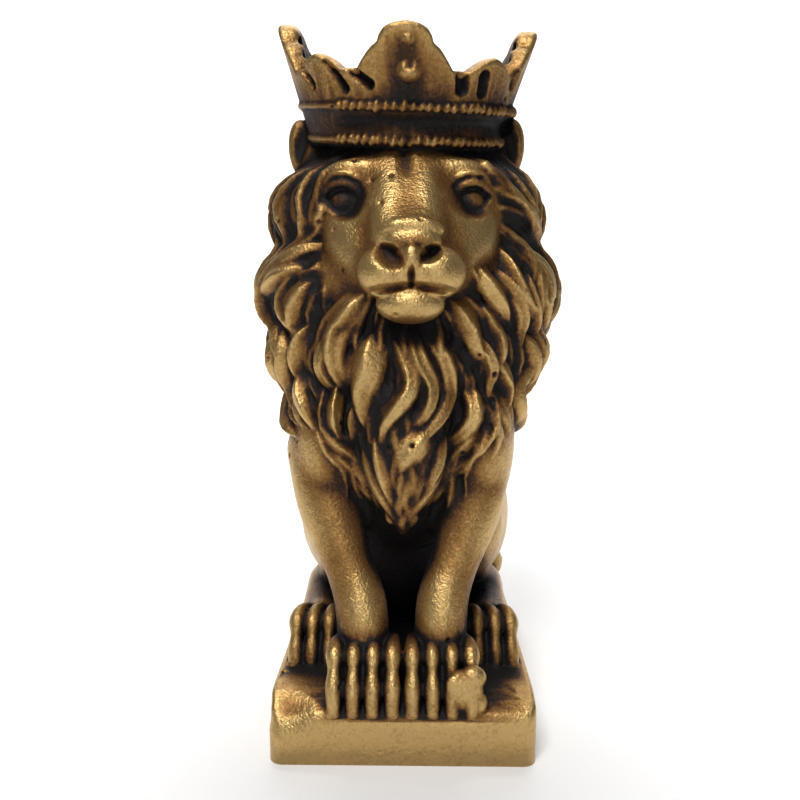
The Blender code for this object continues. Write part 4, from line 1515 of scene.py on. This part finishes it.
@dataclass
class Statue:
    """The whole casting."""

    grain: float = 0.00046
    soft_grain: float = 0.0008
    softness: float = 0.000042
    facets: int = 196000
    pinholes: int = 120
    pinhole_radii: tuple[float, float] = (0.0006, 0.0011)
    pinhole_depth: float = 0.0010
    painted_face_highlight: float = 0.28
    seed: int = 11
    body: Body = field(default_factory=Body)
    head: Head = field(default_factory=Head)
    mane: Mane = field(default_factory=Mane)
    crown: Crown = field(default_factory=Crown)
    plinth: Plinth = field(default_factory=Plinth)
    wash: Wash = field(default_factory=Wash)

    def soft_mass(self) -> bpy.types.Mesh:
        """The lion's softened forms, with the eyes' hollows.

        Returns:
            The mesh.
        """
        clay = Clay()
        self.body.trunk(clay)
        self.body.mane_mass(clay)
        self.head.soft_forms(clay)
        for side in Side:
            self.body.legs(clay, side)
        passes = int(self.softness / self.soft_grain**2)
        mesh = clay.fuse(self.soft_grain, passes)
        skin = Skin(mesh)
        self.head.sockets(skin)
        skin.write()
        return mesh

    def carved_mass(self) -> tuple[bpy.types.Mesh, BVHTree]:
        """The softened forms with everything laid on them and carved, and the soft mass by itself.

        Returns:
            The carved mesh, and the soft mass as a tree that can be searched.
        """
        clay = Clay(self.soft_mass())
        mass = BVHTree.FromBMesh(clay.work)
        self.head.features(clay)
        for side in Side:
            self.body.toes(clay, side)
        self.body.spill(clay)
        self.body.tail(clay)
        log.info("locks laid: %d", self.mane.locks(clay, mass))
        self.crown.ring(clay)
        self.crown.beadwork(clay)
        self.plinth.block(clay)
        mesh = clay.fuse(self.grain, passes=2)
        log.info("fused: %d points", len(mesh.vertices))
        skin = Skin(mesh)
        self.head.carve(skin)
        self.crown.carve(skin)
        self.plinth.carve(skin)
        self.bubbles(skin)
        skin.write()
        return mesh, mass

    def bubbles(self, skin: Skin) -> None:
        """Pinholes that bubbles in the resin left here and there.

        Args:
            skin: The skin that is cut.
        """
        dice = random.Random(self.seed)
        for _ in range(self.pinholes):
            spot = Vector(skin.points[dice.randrange(len(skin.points))])
            skin.pit(spot, dice.uniform(*self.pinhole_radii), self.pinhole_depth)

    def shade(self, skin: Skin, mass: BVHTree) -> np.ndarray:
        """How much darker than elsewhere each point is painted, up to 1: the wash between the locks, on the
        crown and in the eyes, and painted shade between the legs, at the paws, round the eyes, on the nose
        and at the throat, less a painted highlight on the face.

        Args:
            skin: The skin whose points are looked at.
            mass: The mane's soft mass.

        Returns:
            A value for each point.
        """
        parts = (self.body, self.head, self.crown)
        shades = [self.mane.recess(skin, mass), *(part.shade(skin) for part in parts)]
        # Painted shade from the body's and head's masks; a painted highlight lightens the face.
        return np.maximum.reduce(shades) - self.painted_face_highlight * self.head.wiped(skin)

    def thinned(self, mesh: bpy.types.Mesh) -> bpy.types.Mesh:
        """The mesh with fewer facets where it is flat.

        Args:
            mesh: The full mesh.

        Returns:
            The thinned mesh.
        """
        holder = bpy.data.objects.new("thin", mesh)
        bpy.context.scene.collection.objects.link(holder)
        mesh.calc_loop_triangles()
        thin = holder.modifiers.new("Thin", "DECIMATE")
        thin.ratio = min(1.0, self.facets / len(mesh.loop_triangles))
        thin.use_collapse_triangulate = True
        return applied(holder)

    def strip_strays(self, work: bmesh.types.BMesh) -> None:
        """Deletes every shell but the largest: scraps that were shut inside when the forms were fused.

        Args:
            work: The mesh that is stripped.
        """
        seen = set()
        shells = []
        for first in work.verts:
            if first in seen:
                continue
            seen.add(first)
            shell = [first]
            for vert in shell:
                near = [edge.other_vert(vert) for edge in vert.link_edges]
                fresh = [other for other in near if other not in seen]
                seen.update(fresh)
                shell.extend(fresh)
            shells.append(shell)
        largest = max(shells, key=len)
        strays = [vert for shell in shells if shell is not largest for vert in shell]
        bmesh.ops.delete(work, geom=strays, context="VERTS")
        log.info("stray points removed: %d", len(strays))

    def cut_flat(self, mesh: bpy.types.Mesh) -> None:
        """Cuts the plinth off at the floor, so that the underside is one flat face.

        Args:
            mesh: The mesh that is cut.
        """
        work = bmesh.new()
        work.from_mesh(mesh)
        self.strip_strays(work)
        everything = [*work.verts, *work.edges, *work.faces]
        cut = bmesh.ops.bisect_plane(
            work, geom=everything, plane_co=(0, 0, 0), plane_no=(0, 0, -1), clear_outer=True, dist=1e-6
        )
        rim = [edge for edge in cut["geom_cut"] if isinstance(edge, bmesh.types.BMEdge)]
        bmesh.ops.edgeloop_fill(work, edges=rim)
        bmesh.ops.triangulate(work, faces=work.faces)
        bmesh.ops.recalc_face_normals(work, faces=work.faces)
        work.to_mesh(mesh)
        work.free()

    def build(self) -> bpy.types.Object:
        """Builds the statue as one piece that stands for the CAD solid.

        Returns:
            The piece.
        """
        carved, mass = self.carved_mass()
        mesh = self.thinned(carved)
        self.cut_flat(mesh)
        log.info("thinned: %d facets", len(mesh.polygons))
        mesh.name = "lion_statue_casting"
        piece = bpy.data.objects.new("lion_statue_casting", mesh)
        bpy.context.scene.collection.objects.link(piece)
        mesh.shade_smooth()
        self.wash.lay(mesh, self.shade(Skin(mesh), mass))
        mesh.materials.clear()
        mesh.materials.append(AntiqueGold().material())
        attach(piece, "root")
        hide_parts(CAD_NODE)
        return piece


@dataclass
class Studio:
    """The photograph's view: a pale floor and wall, and soft light from the front."""

    camera_place: Triple = (0.00281, -0.266, 0.1318)
    camera_pitch: float = math.radians(90 - 7.517)
    camera_yaw: float = math.radians(0.939)
    sensor: float = 36.0
    lens: float = 35.97
    wall_foot: float = 0.9
    bend: float = 0.6

    def camera(self) -> None:
        """The camera, at the photograph's place."""
        lens = bpy.data.cameras.new("camera")
        lens.lens = self.lens
        lens.sensor_width = self.sensor
        lens.clip_start = 0.01
        view = bpy.data.objects.new("camera", lens)
        view.location = self.camera_place
        view.rotation_euler = (self.camera_pitch, 0, self.camera_yaw)
        bpy.context.scene.collection.objects.link(view)
        bpy.context.scene.camera = view

    def floor(self) -> bpy.types.Object:
        """A pale floor that curves up behind the statue.

        Returns:
            The floor.
        """
        work = bmesh.new()
        profile = [(-6.0, 0.0), (self.wall_foot, 0.0)]
        for k in range(1, 17):
            angle = math.pi / 2 * k / 16
            back, up = self.bend * math.sin(angle), self.bend * (1 - math.cos(angle))
            profile.append((self.wall_foot + back, up))
        profile.append((self.wall_foot + self.bend, 6.0))
        rows = [[work.verts.new((x, y, z)) for x in (-6.0, 6.0)] for y, z in profile]
        for low, high in zip(rows, rows[1:]):
            work.faces.new((low[0], low[1], high[1], high[0]))
        mesh = bpy.data.meshes.new("floor")
        work.to_mesh(mesh)
        work.free()
        mesh.shade_smooth()
        floor = bpy.data.objects.new("floor", mesh)
        paint = bpy.data.materials.new("floor_paint")
        paint.use_nodes = True
        paint.node_tree.nodes["Principled BSDF"].inputs["Base Color"].default_value = (0.9, 0.9, 0.9, 1)
        paint.node_tree.nodes["Principled BSDF"].inputs["Roughness"].default_value = 0.9
        mesh.materials.append(paint)
        bpy.context.scene.collection.objects.link(floor)
        return floor

    def lamp(self, name: str, spot: Triple, power: float, size: float, aim: Triple = (0, 0, 0.11)) -> None:
        """A square soft light that faces the statue, or another point.

        Args:
            name: Its name.
            spot: Where it is, in metres.
            power: Its power in watts.
            size: Its side in metres.
            aim: What it faces.
        """
        light = bpy.data.lights.new(name, "AREA")
        light.energy = power
        light.size = size
        lamp = bpy.data.objects.new(name, light)
        lamp.location = spot
        lamp.rotation_euler = (Vector(aim) - Vector(spot)).to_track_quat("-Z", "Y").to_euler()
        bpy.context.scene.collection.objects.link(lamp)

    def light(self) -> None:
        """A soft key up on the left, a fill in front, lights behind and on the wall, a pale surround."""
        self.lamp("key", (-0.20, -0.65, 1.1), 11, 0.45)
        self.lamp("front", (0.15, -1.3, 0.45), 3.0, 0.5)
        self.lamp("back", (0.0, 0.9, 1.3), 5, 1.2)
        self.lamp("wall", (0.0, 0.4, 1.1), 22, 0.8, aim=(0, 1.5, 0.4))
        world = bpy.data.worlds.new("surround")
        world.use_nodes = True
        world.node_tree.nodes["Background"].inputs["Color"].default_value = (1, 1, 1, 1)
        world.node_tree.nodes["Background"].inputs["Strength"].default_value = 0.07
        bpy.context.scene.world = world
        bpy.context.scene.view_settings.view_transform = "Standard"

    def build(self) -> None:
        """Sets the camera, the floor and the light."""
        self.camera()
        self.floor()
        self.light()


def main() -> None:
    """Builds the statue and its studio."""
    logging.basicConfig(level=logging.INFO, format="%(message)s")
    statue = Statue()
    piece = statue.build()
    log.info("%s: %d faces", piece.name, len(piece.data.polygons))
    Studio().build()


if __name__ == "__main__":
    main()
